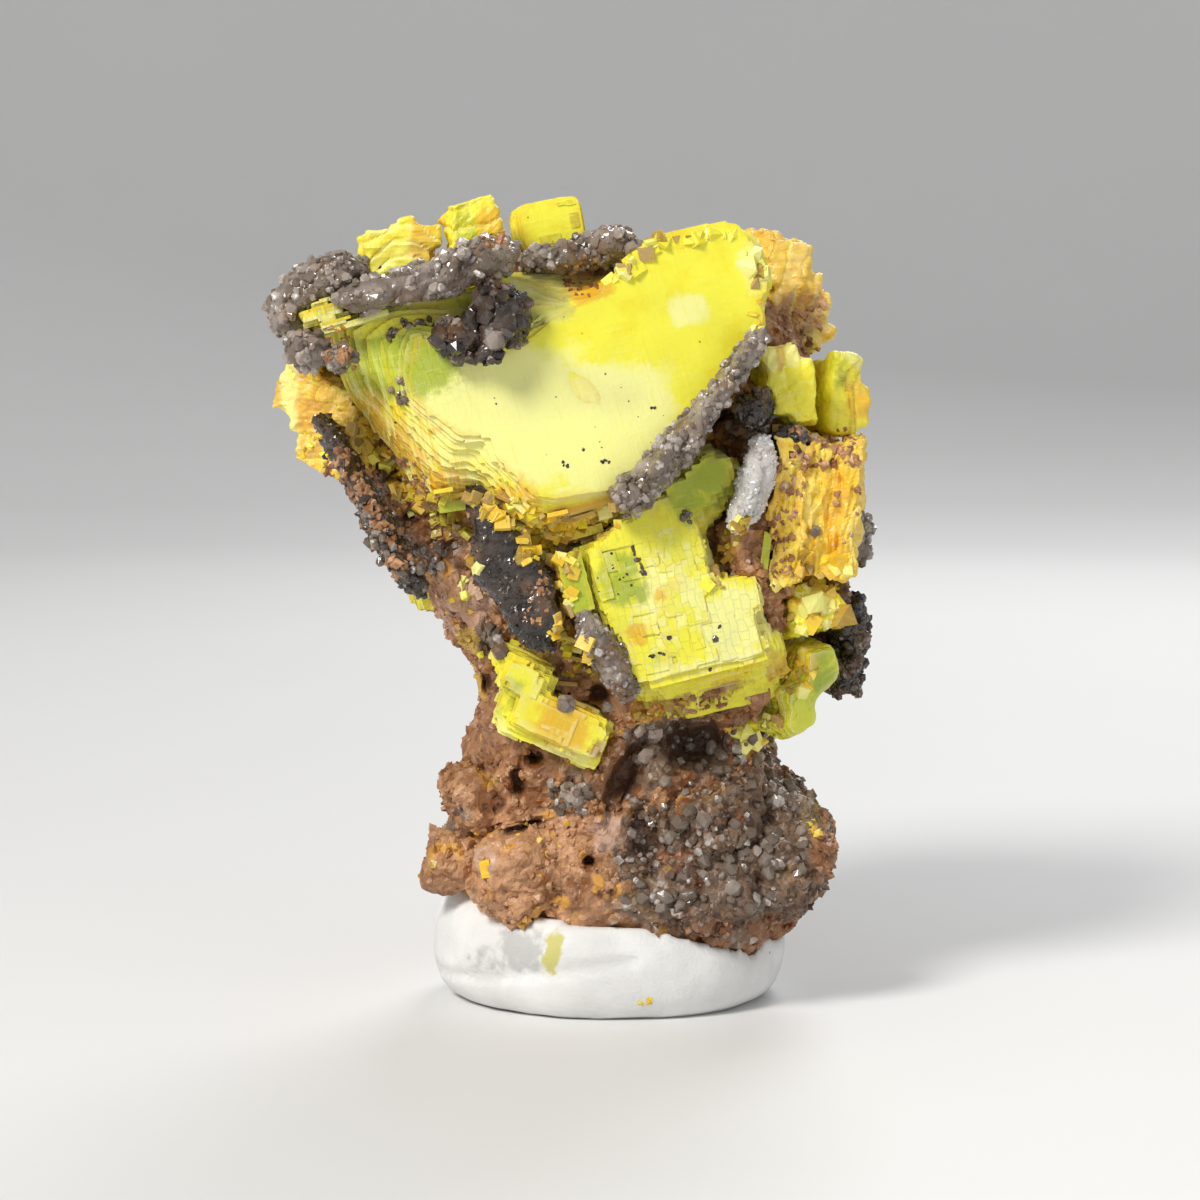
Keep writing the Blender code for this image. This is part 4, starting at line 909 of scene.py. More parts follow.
def sheet_mesh(loops, bare, low, high):
    """One sheet: its corners, its faces, and for each face whether it is on the sheet's edge."""
    flat = [Vector(point) for loop in loops for point in loop] + [Vector(point) for point in bare]
    edges = []
    first = 0
    for loop in loops:
        edges += [(first + i, first + (i + 1) % len(loop)) for i in range(len(loop))]
        first += len(loop)
    points, _, tops, *_ = geometry.delaunay_2d_cdt(flat, edges, [], 1, 1e-5)
    count = len(points)
    corners = [(p.x, p.y, high) for p in points] + [(p.x, p.y, low) for p in points]
    open_edges = {}
    for top in tops:
        for a, b in zip(top, top[1:] + top[:1]):
            if not open_edges.pop((b, a), False):
                open_edges[a, b] = True
    walls = [(b, a, a + count, b + count) for a, b in open_edges]
    floors = [[corner + count for corner in ring[::-1]] for ring in rings_of(dict(open_edges.keys()))]
    floors = [floor for floor in floors if len(floor) > 2]
    faces = list(tops) + walls + floors
    on_edge = [0] * len(tops) + [1] * len(walls) + [0] * len(floors)
    used = sorted({corner for face in faces for corner in face})
    renumber = {corner: i for i, corner in enumerate(used)}
    return [corners[i] for i in used], [[renumber[corner] for corner in face] for face in faces], on_edge


def seen_from_front(x, z, level, solid):
    """The place in a crystal's own plane that is seen at x, z from the front, at this level."""
    start = np.array([x, 0.0, z + SIGHT_FALL * FRONT])
    sight = np.array([0.0, 1.0, -SIGHT_FALL])
    out = solid.axes[2]
    far = (level - (start - solid.middle) @ out) / (sight @ out)
    return (solid.axes @ (start + far * sight - solid.middle))[:2]


def main_face(solid):
    """The level of the widest flat face on a crystal's front."""
    a, b, c = (solid.corners[solid.triangles[:, i]] for i in range(3))
    cross = np.cross(b - a, c - a)
    area = np.linalg.norm(cross, axis=1)
    front = (cross[:, 2] > 0.99 * area) & (a[:, 2] > 0)
    levels = np.round(a[front, 2], 2)
    return max(set(levels), key=lambda level: area[front][levels == level].sum())


def crystal_levels(node, solid, lattice, face_level):
    """The outlines that a crystal's sheets run through: share of the thickness, and the outline's field."""
    low, high = solid.corners[:, 2].min(), solid.corners[:, 2].max()
    levels = []
    if node in OUTLINES:
        for share, outline in OUTLINES[node]:
            level = low + share * (face_level - low)
            ring = np.array([seen_from_front(x, z, level, solid) for x, z in outline])
            field = inside_by(lattice.points, np.stack([ring, np.roll(ring, -1, axis=0)], axis=1))
            levels.append((share, softened(field.reshape(lattice.shape), 2)))
    else:
        for share in (0.1, 0.4, 0.65, 0.9):
            field = inside_by(lattice.points, sliced(solid, low + share * (high - low)))
            levels.append((share, softened(field.reshape(lattice.shape), 14)))
    return levels


def outline_at(levels, share):
    """The outline's field at one share of the thickness, from the levels on both sides of it."""
    shares = [each for each, _ in levels]
    after = int(np.clip(np.searchsorted(shares, share), 1, len(levels) - 1))
    t = np.clip((share - shares[after - 1]) / (shares[after] - shares[after - 1]), 0, 1)
    return levels[after - 1][1] * (1 - t) + levels[after][1] * t


def grown_sheets(node, growth, lattice, levels, low, high, rng):
    """The sheets from the crystal's rear to its main face: lower and upper level, and the outline's field."""
    grid, shape = lattice.points, lattice.shape
    slow = np.column_stack([grid, np.zeros(len(grid))])
    sheets = []
    level = low
    hold = 0
    while level < high - 0.02:
        thick = min(growth.sheet * rng.uniform(0.6, 1.4), high - level)
        share = (level + thick - low) / (high - low)
        # Sheets that end together share an outline and its steps, which round edges leave out.
        if hold <= 0:
            hold = rng.integers(1, growth.together + 1)
            held = share
            steps = squared(lattice, growth.square or GRID, rng)
        hold -= 1
        field = outline_at(levels, held)
        if growth.rounded:
            front = np.clip((share - 0.45) / 0.55, 0, 1)
            rear = np.clip((0.2 - share) / 0.2, 0, 1)
            field = field - growth.rounded * (1 - math.sqrt(1 - 0.97 * front**2) + 0.4 * rear**2)
        slow[:, 2] = level * 1.5
        field = field + growth.ragged * ripple(slow, 1.1, random_of(node + "_broad")).reshape(shape)
        field += 0.5 * growth.ragged * ripple(slow, 0.33, random_of(node + "_fine")).reshape(shape)
        if growth.square:
            field = field[steps]
        field = field + 0.25 * growth.ragged * ripple(grid, 0.2, rng).reshape(shape)
        sheets.append((level, level + thick, field))
        level += thick
    return sheets


def part_sheets(count, lattice, level, top, rng):
    """Thin sheets that cover parts of the main face, with square edges."""
    sheets = []
    for _ in range(count):
        thick = rng.uniform(0.015, 0.03)
        steps = squared(lattice, 0.3, rng)
        part = 0.5 * ripple(lattice.points, 2.6, rng) + 0.3 * ripple(lattice.points, 0.9, rng) - 0.12
        part = part.reshape(lattice.shape)[steps]
        sheets.append((level, level + thick, np.minimum(top - 0.05, part * 0.5)))
        level += thick
    return sheets


def shelf_sheets(node, solid, lattice, face_level, rng):
    """The blades and blocks that stand on the main face."""
    lean = math.atan2(solid.axes[0][2], solid.axes[0][0])
    sheets = []
    for shelf in SHELVES:
        if shelf.crystal == node:
            middle = seen_from_front(shelf.x, shelf.z, face_level + shelf.high, solid)
            du, dv = (lattice.points - middle).T
            across, upward = in_oblong(du, dv, math.radians(shelf.turn) - lean)
            field = np.minimum(shelf.wide - np.abs(across), shelf.tall - np.abs(upward))
            field = (field + 0.015 * ripple(lattice.points, 0.25, rng)).reshape(lattice.shape)
            sheets.append((face_level + shelf.low, face_level + shelf.high, field))
    return sheets


def make_crystal(node, material):
    """A crystal as a stack of thin sheets with ragged, stepped edges, in place of its CAD solid."""
    rng = random_of(node)
    growth = GROWTHS.get(node, USUAL_GROWTH)
    bm = merged_copy(node)
    middle, axes = facing_of(bm)
    turned = np.array([axes @ (np.array(vert.co) - middle) for vert in bm.verts])
    bm.verts.index_update()
    bmesh.ops.triangulate(bm, faces=bm.faces)
    solid = Solid(middle, axes, turned, np.array([[vert.index for vert in face.verts] for face in bm.faces]))
    bm.free()
    low, high = turned.min(axis=0), turned.max(axis=0)
    us, vs = (np.arange(low[a] - 4 * GRID, high[a] + 4 * GRID, GRID) for a in (0, 1))
    grid = np.stack(np.meshgrid(us, vs, indexing="ij"), axis=-1).reshape(-1, 2)
    lattice = Lattice(us, vs, grid, (len(us), len(vs)))
    face_level = main_face(solid) if node in OUTLINES else high[2]
    levels = crystal_levels(node, solid, lattice, face_level)

    # The stack's sheets, each covered by the next one, and then what stands on the face.
    sheets = grown_sheets(node, growth, lattice, levels, low[2], face_level, rng)
    sheets += part_sheets(growth.parts, lattice, sheets[-1][1], sheets[-1][2], rng)
    nothing = np.full(lattice.shape, -1.0)
    covers = [field for _, _, field in sheets[1:]] + [nothing]
    sheets += shelf_sheets(node, solid, lattice, face_level, rng)
    covers += [nothing] * (len(sheets) - len(covers))

    mask = np.zeros(lattice.shape, bool)
    mask[::POINT_STRIDE, ::POINT_STRIDE] = True
    corners, faces, rim, tone, border = [], [], [], [], []
    for (under, over, field), cover in zip(sheets, covers):
        loops = traced(field, us, vs)
        if not loops:
            continue
        # Points well inside the outline, where the next sheet leaves this one bare.
        i, j = np.argwhere((field > 0.07) & (cover < 0.12) & mask).T
        bare = np.column_stack([us[i], vs[j]]) + rng.uniform(-0.04, 0.04, (len(i), 2))
        points, polygons, on_edge = sheet_mesh(loops, bare, under - OVERLAP, over)
        first = len(corners)
        corners += points
        faces += [[first + i for i in polygon] for polygon in polygons]
        rim += on_edge
        tone += [rng.uniform()] * len(polygons)
        flat = np.array(points)
        nearest = tuple(
            np.clip(np.rint((flat[:, a] - line[0]) / GRID).astype(int), 0, len(line) - 1)
            for a, line in enumerate((us, vs))
        )
        border += list(np.exp(-np.maximum(field[nearest], 0) / 0.25))

    # The whole stack is bent a little, as real plates are.
    crystal = np.array(corners)
    bent = crystal.copy()
    bent[:, 2] += 0.03 * ripple(bent[:, :2], 3.2, rng) + 0.008 * ripple(bent[:, :2], 1.1, rng)
    points = bent @ axes + middle
    mesh = bpy.data.meshes.new(node + "_plates")
    mesh.from_pydata(points.tolist(), [], faces)
    keep(mesh, "crystal", crystal + rng.uniform(0, 40, 3), kind="FLOAT_VECTOR")
    paint_crystal(mesh, points)
    keep(mesh, "border", border)
    keep(mesh, "rim", rim, "FACE")
    keep(mesh, "plate", tone, "FACE")
    body = shown(node + "_plates", mesh)
    finish_piece(body, node, material)
    return body


def make_mass(node, material):
    """Crystals grown together to a rounded, bumpy mass, with grooves between their plates."""
    rng = random_of(node)
    mass = MASSES[node]
    bm = merged_copy(node)
    middle, axes = facing_of(bm)
    body = to_object(node + "_mass", bm)
    roughen(body, CRYSTAL_CELL, soft=mass.soft)
    points = corners_of(body.data)
    normals = normals_of(body.data)
    local = (points - middle) @ axes.T
    level = local[:, 2] + 0.18 * ripple(points, 2.2, rng) + 0.05 * ripple(points, 0.7, rng)
    count = int((level.max() - level.min()) / mass.groove) + 2
    ends = level.min() + np.cumsum(rng.uniform(0.5, 1.5, count * 2)) * mass.groove
    plate = np.searchsorted(ends, level)
    over, under = (np.abs(level - ends[np.clip(plate - n, 0, len(ends) - 1)]) for n in (0, 1))
    groove = np.exp(-((np.minimum(over, under) / 0.05) ** 2))
    bumps = 0.7 * ripple(points, 1.3, rng) + 0.35 * ripple(points, 0.5, rng) + 0.2 * ripple(points, 0.22, rng)
    lift = mass.bumpy * bumps + mass.depth * (rng.uniform(-1, 1, len(ends) + 1)[plate] - 1.4 * groove)
    points += lift[:, None] * normals
    move_corners(body.data, points)
    keep(body.data, "crystal", local + rng.uniform(0, 40, 3), kind="FLOAT_VECTOR")
    paint_crystal(body.data, points)
    keep(body.data, "rim", 0.35 + 0.65 * groove)
    keep(body.data, "plate", rng.uniform(0, 1, len(ends) + 1)[plate])
    finish_piece(body, node, material)
    return body


# Rock, quartz and putty

def work_in(body):
    """Put a mesh with the modifiers worked in in place of a piece's mesh and modifiers."""
    bpy.context.view_layer.update()
    graph = bpy.context.evaluated_depsgraph_get()
    worked = body.evaluated_get(graph)
    mesh = bpy.data.meshes.new_from_object(worked, preserve_all_data_layers=True, depsgraph=graph)
    mesh.name = body.name
    body.modifiers.clear()
    body.data = mesh


def roughen(body, cell, reliefs=(), soft=0):
    """Remesh a piece finely, smooth it, and push its surface in and out: pattern, size, strength."""
    remesh = body.modifiers.new("fine", "REMESH")
    remesh.mode = "VOXEL"
    remesh.voxel_size = cell
    if soft:
        body.modifiers.new("soft", "SMOOTH").iterations = soft
    for pattern, size, strength in reliefs:
        texture = bpy.data.textures.new(f"{body.name}_{pattern}_{size}", pattern)
        texture.noise_scale = size
        if pattern == "VORONOI":
            texture.distance_metric = "DISTANCE"
        push = body.modifiers.new(pattern, "DISPLACE")
        push.texture = texture
        push.strength = strength
        push.mid_level = 0.4
    work_in(body)


def grain_shapes(name, kind, count):
    """A collection of small closed shapes: angular rock grains, rounded quartz grains, or quartz points."""
    golden_angle = 2.39996
    rng = random_of(name)
    shapes = bpy.data.collections.new(name)
    for n in range(count):
        bm = bmesh.new()
        if kind == "point":
            for i in range(6):
                angle = math.tau * i / 6
                radius = 0.34 * rng.uniform(0.8, 1.2)
                for height in (-0.4, rng.uniform(0.1, 0.3)):
                    bm.verts.new((radius * math.cos(angle), radius * math.sin(angle), height))
            bm.verts.new((rng.uniform(-0.08, 0.08), rng.uniform(-0.08, 0.08), 0.55))
        else:
            corners, least = (8, 0.40) if kind == "angular" else (15, 0.46)
            for i in range(corners):
                height = 1 - (2 * i + 1) / corners
                angle = golden_angle * i + rng.uniform(-0.35, 0.35)
                across = math.sqrt(1 - height**2)
                direction = Vector((across * math.cos(angle), across * math.sin(angle), height))
                bm.verts.new(direction * rng.uniform(least, 0.55))
        bmesh.ops.convex_hull(bm, input=bm.verts)
        mesh = bpy.data.meshes.new(f"{name}_{n}")
        bm.to_mesh(mesh)
        bm.free()
        shapes.objects.link(bpy.data.objects.new(f"{name}_{n}", mesh))
    return shapes


def scatter_tree(name, keeps_surface):
    """A geometry tree that seats small shapes on a surface, more of them where its "cover" is higher."""
    made = bpy.data.node_groups.new(name, "GeometryNodeTree")
    sockets = {
        "Surface": "Geometry", "Shapes": "Collection", "Density": "Float", "Smallest": "Float",
        "Largest": "Float", "Lean": "Float", "Seed": "Int", "Finish": "Material",
    }
    for label, kind in sockets.items():
        made.interface.new_socket(label, in_out="INPUT", socket_type="NodeSocket" + kind)
    made.interface.new_socket("Result", in_out="OUTPUT", socket_type="NodeSocketGeometry")
    tree = Tree(made)
    given = tree.node("NodeGroupInput")

    def drawn(low, high, later, three=False):
        """A random number for each shape, or three, apart from those drawn earlier."""
        kind, first = ("FLOAT_VECTOR", 0) if three else ("FLOAT", 2)
        values = {first: low, first + 1: high, 8: given["Seed"] + later}
        return tree.node("FunctionNodeRandomValue", {"data_type": kind}, values, output=0 if three else 1)

    def angles(lean, turn):
        return tree.node("ShaderNodeCombineXYZ", {}, {0: lean, 1: lean, 2: turn})

    cover = tree.node("GeometryNodeInputNamedAttribute", {"data_type": "FLOAT"}, {"Name": "cover"})
    points = tree.node(
        "GeometryNodeDistributePointsOnFaces", {"distribute_method": "RANDOM"},
        {"Mesh": given["Surface"], "Density": cover * given["Density"], "Seed": given["Seed"]},
    )
    lean = given["Lean"]
    tilt = drawn(angles(lean * -1.0, -3.1416), angles(lean, 3.1416), 0, three=True)
    tilt = tree.node("FunctionNodeEulerToRotation", {}, {0: tilt})
    turned = tree.node(
        "FunctionNodeRotateRotation", {"rotation_space": "LOCAL"},
        {"Rotation": points["Rotation"], "Rotate By": tilt},
    )
    size = given["Smallest"] + (given["Largest"] - given["Smallest"]) * drawn(0.0, 1.0, 1) ** 2.0
    stretch = drawn((0.65,) * 3, (1.2,) * 3, 2, three=True)
    shapes = tree.node(
        "GeometryNodeCollectionInfo", {},
        {"Collection": given["Shapes"], "Separate Children": True, "Reset Children": True},
    )
    seated = tree.node(
        "GeometryNodeInstanceOnPoints", {},
        {
            "Points": points["Points"], "Instance": shapes, "Pick Instance": True, "Rotation": turned,
            "Scale": tree.scaled(stretch, size),
        },
    )
    seated = tree.node(
        "GeometryNodeStoreNamedAttribute", {"data_type": "FLOAT", "domain": "INSTANCE"},
        {"Geometry": seated, "Name": "tint", "Value": drawn(0.0, 1.0, 3)},
    )
    result = tree.node("GeometryNodeRealizeInstances", {}, {"Geometry": seated})
    if keeps_surface:
        result = tree.node("GeometryNodeJoinGeometry", {}, {"Geometry": [given["Surface"], result]})
    result = tree.node("GeometryNodeSetMaterial", {}, {"Geometry": result, "Material": given["Finish"]})
    tree.node("NodeGroupOutput", {}, {"Result": result})
    return made


def scatter(body, tree, shapes, density, smallest, largest, lean, material):
    """Seat small shapes on a piece. Its mesh needs a "cover" attribute."""
    sow = body.modifiers.new("small_shapes", "NODES")
    sow.node_group = tree
    given = {
        "Shapes": shapes, "Density": density, "Smallest": smallest, "Largest": largest, "Lean": lean,
        "Seed": zlib.crc32(body.name.encode()) % 1000, "Finish": material,
    }
    for item in tree.interface.items_tree:
        if item.in_out == "INPUT" and item.name in given:
            sow[item.identifier] = given[item.name]
    work_in(body)


# How each quartz piece is grown over: the shapes, how many to the square millimetre, smallest and largest.
Crust = namedtuple("Crust", "kind density smallest largest")

USUAL_CRUST = Crust("rounded", 34.0, 0.10, 0.36)
CRUSTS = {
    "diagonal_quartz_vein": Crust("rounded", 46.0, 0.10, 0.30),
    "left_quartz_ridge": Crust("rounded", 44.0, 0.12, 0.34),
    "dark_quartz_group": Crust("rounded", 20.0, 0.14, 0.55),
    "dark_quartz_slab": Crust("point", 34.0, 0.06, 0.2),
    "left_quartz_sheet": Crust("point", 30.0, 0.08, 0.26),
    "sparkling_druse": Crust("point", 60.0, 0.08, 0.2),
    "upper_vug_quartz": Crust("point", 30.0, 0.15, 0.4),
    "lower_vug_quartz": Crust("point", 30.0, 0.15, 0.4),
    "lower_quartz_vein": Crust("rounded", 50.0, 0.08, 0.24),
}


def make_quartz(node, material, tree, shapes):
    """A quartz vein, crust or group: a rough body grown over with small crystals."""
    body = to_object(node + "_crystals", merged_copy(node))
    roughen(body, CRYSTAL_CELL, (("CLOUDS", 0.5, 0.22), ("VORONOI", 0.22, 0.1)))
    points = corners_of(body.data)
    crust = CRUSTS.get(node, USUAL_CRUST)
    cover = 0.65 + 0.5 * ripple(points, 1.1, random_of(node + "_cover"))
    if node == "dark_quartz_slab":
        # The slab is grown over at its lower left, and nearly bare at its upper right.
        cover = 0.45 - 1.1 * ((points[:, 0] + 1.44) * 0.88 + (points[:, 2] - 11.13) * 0.475)
    keep(body.data, "cover", np.clip(cover, 0.12, 1))
    keep(body.data, "tint", 0.25 + 0.2 * ripple(points, 1.0, random_of(node)))
    scatter(body, tree, shapes[crust.kind], crust.density, crust.smallest, crust.largest, 0.9, material)
    finish_piece(body, node, material)
    return body


def hollows(mesh, points, rounds):
    """How far each point of a mesh lies below its surroundings, in millimetres; negative on knobs."""
    ends = np.empty(len(mesh.edges) * 2, int)
    mesh.edges.foreach_get("vertices", ends)
    first, second = ends.reshape(-1, 2).T
    total = len(points)
    count = np.maximum(np.bincount(first, minlength=total) + np.bincount(second, minlength=total), 1)
    around = points
    for _ in range(rounds):
        sums = [
            np.bincount(first, line[second], total) + np.bincount(second, line[first], total)
            for line in around.T
        ]
        around = np.column_stack(sums) / count[:, None]
    return ((around - points) * normals_of(mesh)).sum(axis=1)


def make_rock(material, tree, grains):
    """The rock's granular surface with its pits and clefts, and the separate grains on it."""
    body = to_object("matrix_rock_surface", merged_copy("matrix_rock"))
    roughen(body, ROCK_CELL, (
        ("CLOUDS", 1.3, 0.45), ("VORONOI", 0.7, 0.22), ("CLOUDS", 0.35, 0.22), ("VORONOI", 0.28, 0.14),
        ("CLOUDS", 0.12, 0.06),
    ))
    points = corners_of(body.data)
    front = (points[:, 1] < 1.0) & (normals_of(body.data)[:, 1] < 0.3)
    # Each pit is pushed in. deep keeps how far into a pit each point lies, which is painted as shade and gets
    # fewer loose grains.
    deep = np.zeros(len(points))
    for x, z, wide, tall, turn, depth in PITS:
        a, b = in_oblong(points[:, 0] - x, points[:, 2] - z, math.radians(turn), wide, tall)
        share = np.exp(-((a**2 + b**2) ** 1.5)) * front
        points[:, 1] += depth * share
        deep = np.maximum(deep, share * min(1, depth + 0.3))
    move_corners(body.data, points)
    rng = random_of("rock")
    # Painted shade, stored for the finish: how far each point lies in a hollow, and in a pit.
    keep(body.data, "hollow", np.clip(hollows(body.data, points, 6) * 9 + 0.1, 0, 1) + 0.8 * deep)
    for name, patches in ROCK_PATCHES.items():
        fading = np.clip((3.2 - points[:, 1] + ripple(points, 1.5, rng)) / 2, 0, 1)
        keep(body.data, name, painted(points, patches) * fading)
    keep(body.data, "tint", 0.3 + 0.1 * ripple(points, 0.8, rng))
    cover = 0.5 + 0.5 * np.clip(ripple(points, 2.0, rng), -1, 1)
    keep(body.data, "cover", cover * (1 - np.clip(deep, 0, 1)))
    loose = shown("matrix_rock_grains", body.data.copy())
    scatter(loose, tree, grains, 30.0, 0.07, 0.36, 3.1, material)
    finish_piece(body, "matrix_rock", material)
    finish_piece(loose, None, material)
    return body, loose


def make_putty(material):
    """The putty: a soft blob with a fold, worn smooth by fingers."""
    body = to_object("mounting_putty_blob", merged_copy("mounting_putty"))
    roughen(body, PUTTY_CELL, (("CLOUDS", 2.2, 0.16), ("CLOUDS", 0.5, 0.03)))
    body.modifiers.new("soft", "SMOOTH").iterations = 4
    work_in(body)
    points = corners_of(body.data)
    x, y, z = points.T
    points[:, 2] = np.maximum(z, 0.0)
    fold = np.exp(-((z - 1.3 - 0.16 * x) / 0.12) ** 2) * (y < 0) * (x < 1.5)
    out = points[:, :2] - np.array([0.9, 0.25])
    points[:, :2] -= 0.12 * fold[:, None] * out / np.linalg.norm(out, axis=1)[:, None]
    move_corners(body.data, points)
    body.data.shade_smooth()
    marks = {
        "smudge": ((-1.25, 1.7, 0.5, 0.5, 0, 1.0), (-2.4, 1.3, 0.6, 0.3, 20, 0.5)),
        "streak": ((-0.55, 1.7, 0.2, 0.5, -10, 1.0),),
    }
    for name, patches in marks.items():
        keep(body.data, name, (points[:, 1] < 0) * painted(points, patches))
    finish_piece(body, "mounting_putty", material)
    return body


# Small pieces on the front

# A small block: its corners and the corners of its sides.
CUBE = np.array([(x, y, z) for z in (-0.5, 0.5) for y in (-0.5, 0.5) for x in (-0.5, 0.5)])
CUBE_SIDES = [[0, 2, 3, 1], [4, 5, 7, 6], [0, 1, 5, 4], [2, 6, 7, 3], [0, 4, 6, 2], [1, 3, 7, 5]]


def first_hit(x, z, bodies):
    """Where the line of sight from the front first meets one of the bodies, and which way it faces there."""
    graph = bpy.context.evaluated_depsgraph_get()
    sight = Vector((0, 1, -SIGHT_FALL)).normalized()
    start = Vector((x, SIGHT_START, z + SIGHT_FALL * (FRONT - SIGHT_START))) * MM
    for _ in range(40):
        found, place, normal, _, body, _ = bpy.context.scene.ray_cast(graph, start, sight)
        if not found:
            return None
        if body.name in bodies:
            return np.array(place) / MM, np.array(normal)
        start = place + sight * 0.01 * MM
    return None


def turned_to(normal, lean, rng):
    """Three axes, the last near the surface's direction."""
    out = normal + lean * rng.normal(0, 1, 3)
    out /= np.linalg.norm(out)
    side = np.cross(out, rng.normal(0, 1, 3))
    side /= np.linalg.norm(side)
    return np.array([side, np.cross(out, side), out])


def place_of(crumbs, rng):
    """A random place in the area of some small pieces, as seen from the front. A block's is the middle."""
    turn = math.radians(crumbs.turn)
    a, b = rng.uniform(-1, 1, 2) * (0 if crumbs.kind == "block" else 1)
    return (
        crumbs.x + a * crumbs.wide * math.cos(turn) - b * crumbs.tall * math.sin(turn),
        crumbs.z + a * crumbs.wide * math.sin(turn) + b * crumbs.tall * math.cos(turn),
    )


def shape_of(crumbs, size, normal, hulls, rng):
    """A small piece's three axes, its corners round its middle, and its faces."""
    if crumbs.kind == "block":
        along, aside = math.cos(math.radians(crumbs.turn)), math.sin(math.radians(crumbs.turn))
        axes = np.array([(along, 0, aside), (-aside, 0, along), (0, -1, 0)])
        scale = np.array([crumbs.wide * 2, crumbs.tall * 2, crumbs.smallest])
    elif crumbs.kind == "tablet":
        axes = turned_to(normal * 0.6 + np.array([0, -0.4, 0]), 0.45, rng)
        scale = size * np.array([1.0, rng.uniform(0.5, 1.0), rng.uniform(0.25, 0.5)])
    elif crumbs.kind == "flake":
        axes = turned_to(normal, 0.05, rng)
        scale = size * np.array([1.0, rng.uniform(0.5, 1.0), 0.35])
    else:
        axes = turned_to(normal, 1.5, rng)
        scale = size * rng.uniform(0.7, 1.15, 3)
    if crumbs.kind in ("block", "tablet"):
        return axes, CUBE * rng.uniform(0.88, 1.06, (8, 1)) * scale, CUBE_SIDES
    corners, sides = hulls[rng.integers(len(hulls))]
    return axes, corners * scale, sides


def make_crumbs(name, kinds, material, shapes, bodies):
    """All small pieces of some kinds, each seated on what is seen behind it from the front."""
    rng = random_of(name)
    hulls = [
        (corners_of(shape.data), [list(face.vertices) for face in shape.data.polygons]) for shape in shapes
    ]
    corners, faces, local, tint, shades = [], [], [], [], []
    for crumbs in [each for each in CRUMBS if each.kind in kinds for _ in range(each.count)]:
        hit = first_hit(*place_of(crumbs, rng), bodies)
        if hit is None:
            continue
        place, normal = hit
        size = crumbs.smallest + (crumbs.largest - crumbs.smallest) * rng.uniform() ** 1.6
        axes, inner, sides = shape_of(crumbs, size, normal, hulls, rng)
        if crumbs.kind in ("nugget", "grain"):
            place = place - 0.2 * size * normal
        first = len(corners)
        corners += list(inner @ axes + place)
        faces += [[first + i for i in side] for side in sides]
        local += list(inner + rng.uniform(0, 40, 3))
        tint += [rng.uniform() ** (2.5 if crumbs.kind == "quartz" else 1) * 0.9] * len(inner)
        colour = rng.choice([crumbs.colour, "brown", "pale"], p=(0.6, 0.27, 0.13))
        shades += [(colour, rng.uniform(0.4, 1.1))] * len(inner)
    mesh = bpy.data.meshes.new(name)
    mesh.from_pydata(np.array(corners).tolist(), [], faces)
    keep(mesh, "crystal", local, kind="FLOAT_VECTOR")
    keep(mesh, "tint", tint)
    keep(mesh, "plate", tint)
    keep(mesh, "rim", np.full(len(corners), 0.4))
    for colour in ("pale", "green", "orange", "brown"):
        keep(mesh, colour, [amount if shade == colour else 0.0 for shade, amount in shades])
    finish_piece(shown(name, mesh), None, material)


# Camera, lights and floor

# How far the floor is flat from its middle, and the radius of its rise, in millimetres.
FLOOR_FLAT = 130
FLOOR_CURVE = 110

# What the lights point at, in millimetres.
LIT_MIDDLE = (0, 0, 11)

# The camera looks a little down from the front. It sees this width of the specimen's front, in millimetres.
FRAME_WIDTH = 28.4
LENS = 100.0
SENSOR = 36.0
LOOK_DOWN = 6.0
AIM = Vector((0.6, FRONT, 10.3))


def make_stage():
    """A plain pale floor that curves up all round."""
    bm = bmesh.new()
    rises = [(0.0, 0.0)] + [(math.sin(a), 1 - math.cos(a)) for a in np.linspace(0.15, 1.45, 11)]
    around = np.linspace(0, math.tau, 96, endpoint=False)
    middle = bm.verts.new((0, 0, 0))
    rings = []
    for out, up in rises:
        radius, height = (FLOOR_FLAT + FLOOR_CURVE * out) * MM, FLOOR_CURVE * up * MM
        rings.append([bm.verts.new((radius * math.cos(a), radius * math.sin(a), height)) for a in around])
    for i in range(len(around)):
        j = (i + 1) % len(around)
        bm.faces.new((middle, rings[0][i], rings[0][j]))
        for low, high in zip(rings, rings[1:]):
            bm.faces.new((low[i], high[i], high[j], low[j]))
    floor = to_object("pale_floor", bm)
    floor.data.shade_smooth()
    material, tree = new_finish("pale_floor")
    cloud = tree.noise(tree.place_mm(), 0.05, 2)
    tree.finish(tree.mix(cloud, FLOOR_PALE, FLOOR_PALER), 0.6, cloud, 0.01)
    floor.data.materials.append(material)


def area_light(name, place, size, power, colour):
    light = bpy.data.lights.new(name, "AREA")
    light.shape = "DISK"
    light.size = size * MM
    light.energy = power
    light.color = colour
    body = bpy.data.objects.new(name, light)
    bpy.context.scene.collection.objects.link(body)
    body.location = Vector(place) * MM
    body.rotation_euler = (Vector(LIT_MIDDLE) - Vector(place)).to_track_quat("-Z", "Y").to_euler()


def make_lights():
    area_light("key_light", (-75, -95, 110), 50, 0.225, (1.0, 0.97, 0.92))
    area_light("fill_light", (120, -90, 40), 120, 0.03, (0.94, 0.97, 1.0))
    area_light("back_light", (40, 110, 90), 70, 0.08, (1.0, 1.0, 1.0))
    world = bpy.data.worlds.new("studio")
    bpy.context.scene.world = world
    world.use_nodes = True
    world.node_tree.nodes["Background"].inputs["Color"].default_value = (0.95, 0.97, 1.0, 1)
    world.node_tree.nodes["Background"].inputs["Strength"].default_value = 0.33
    bpy.context.scene.view_settings.view_transform = "Standard"


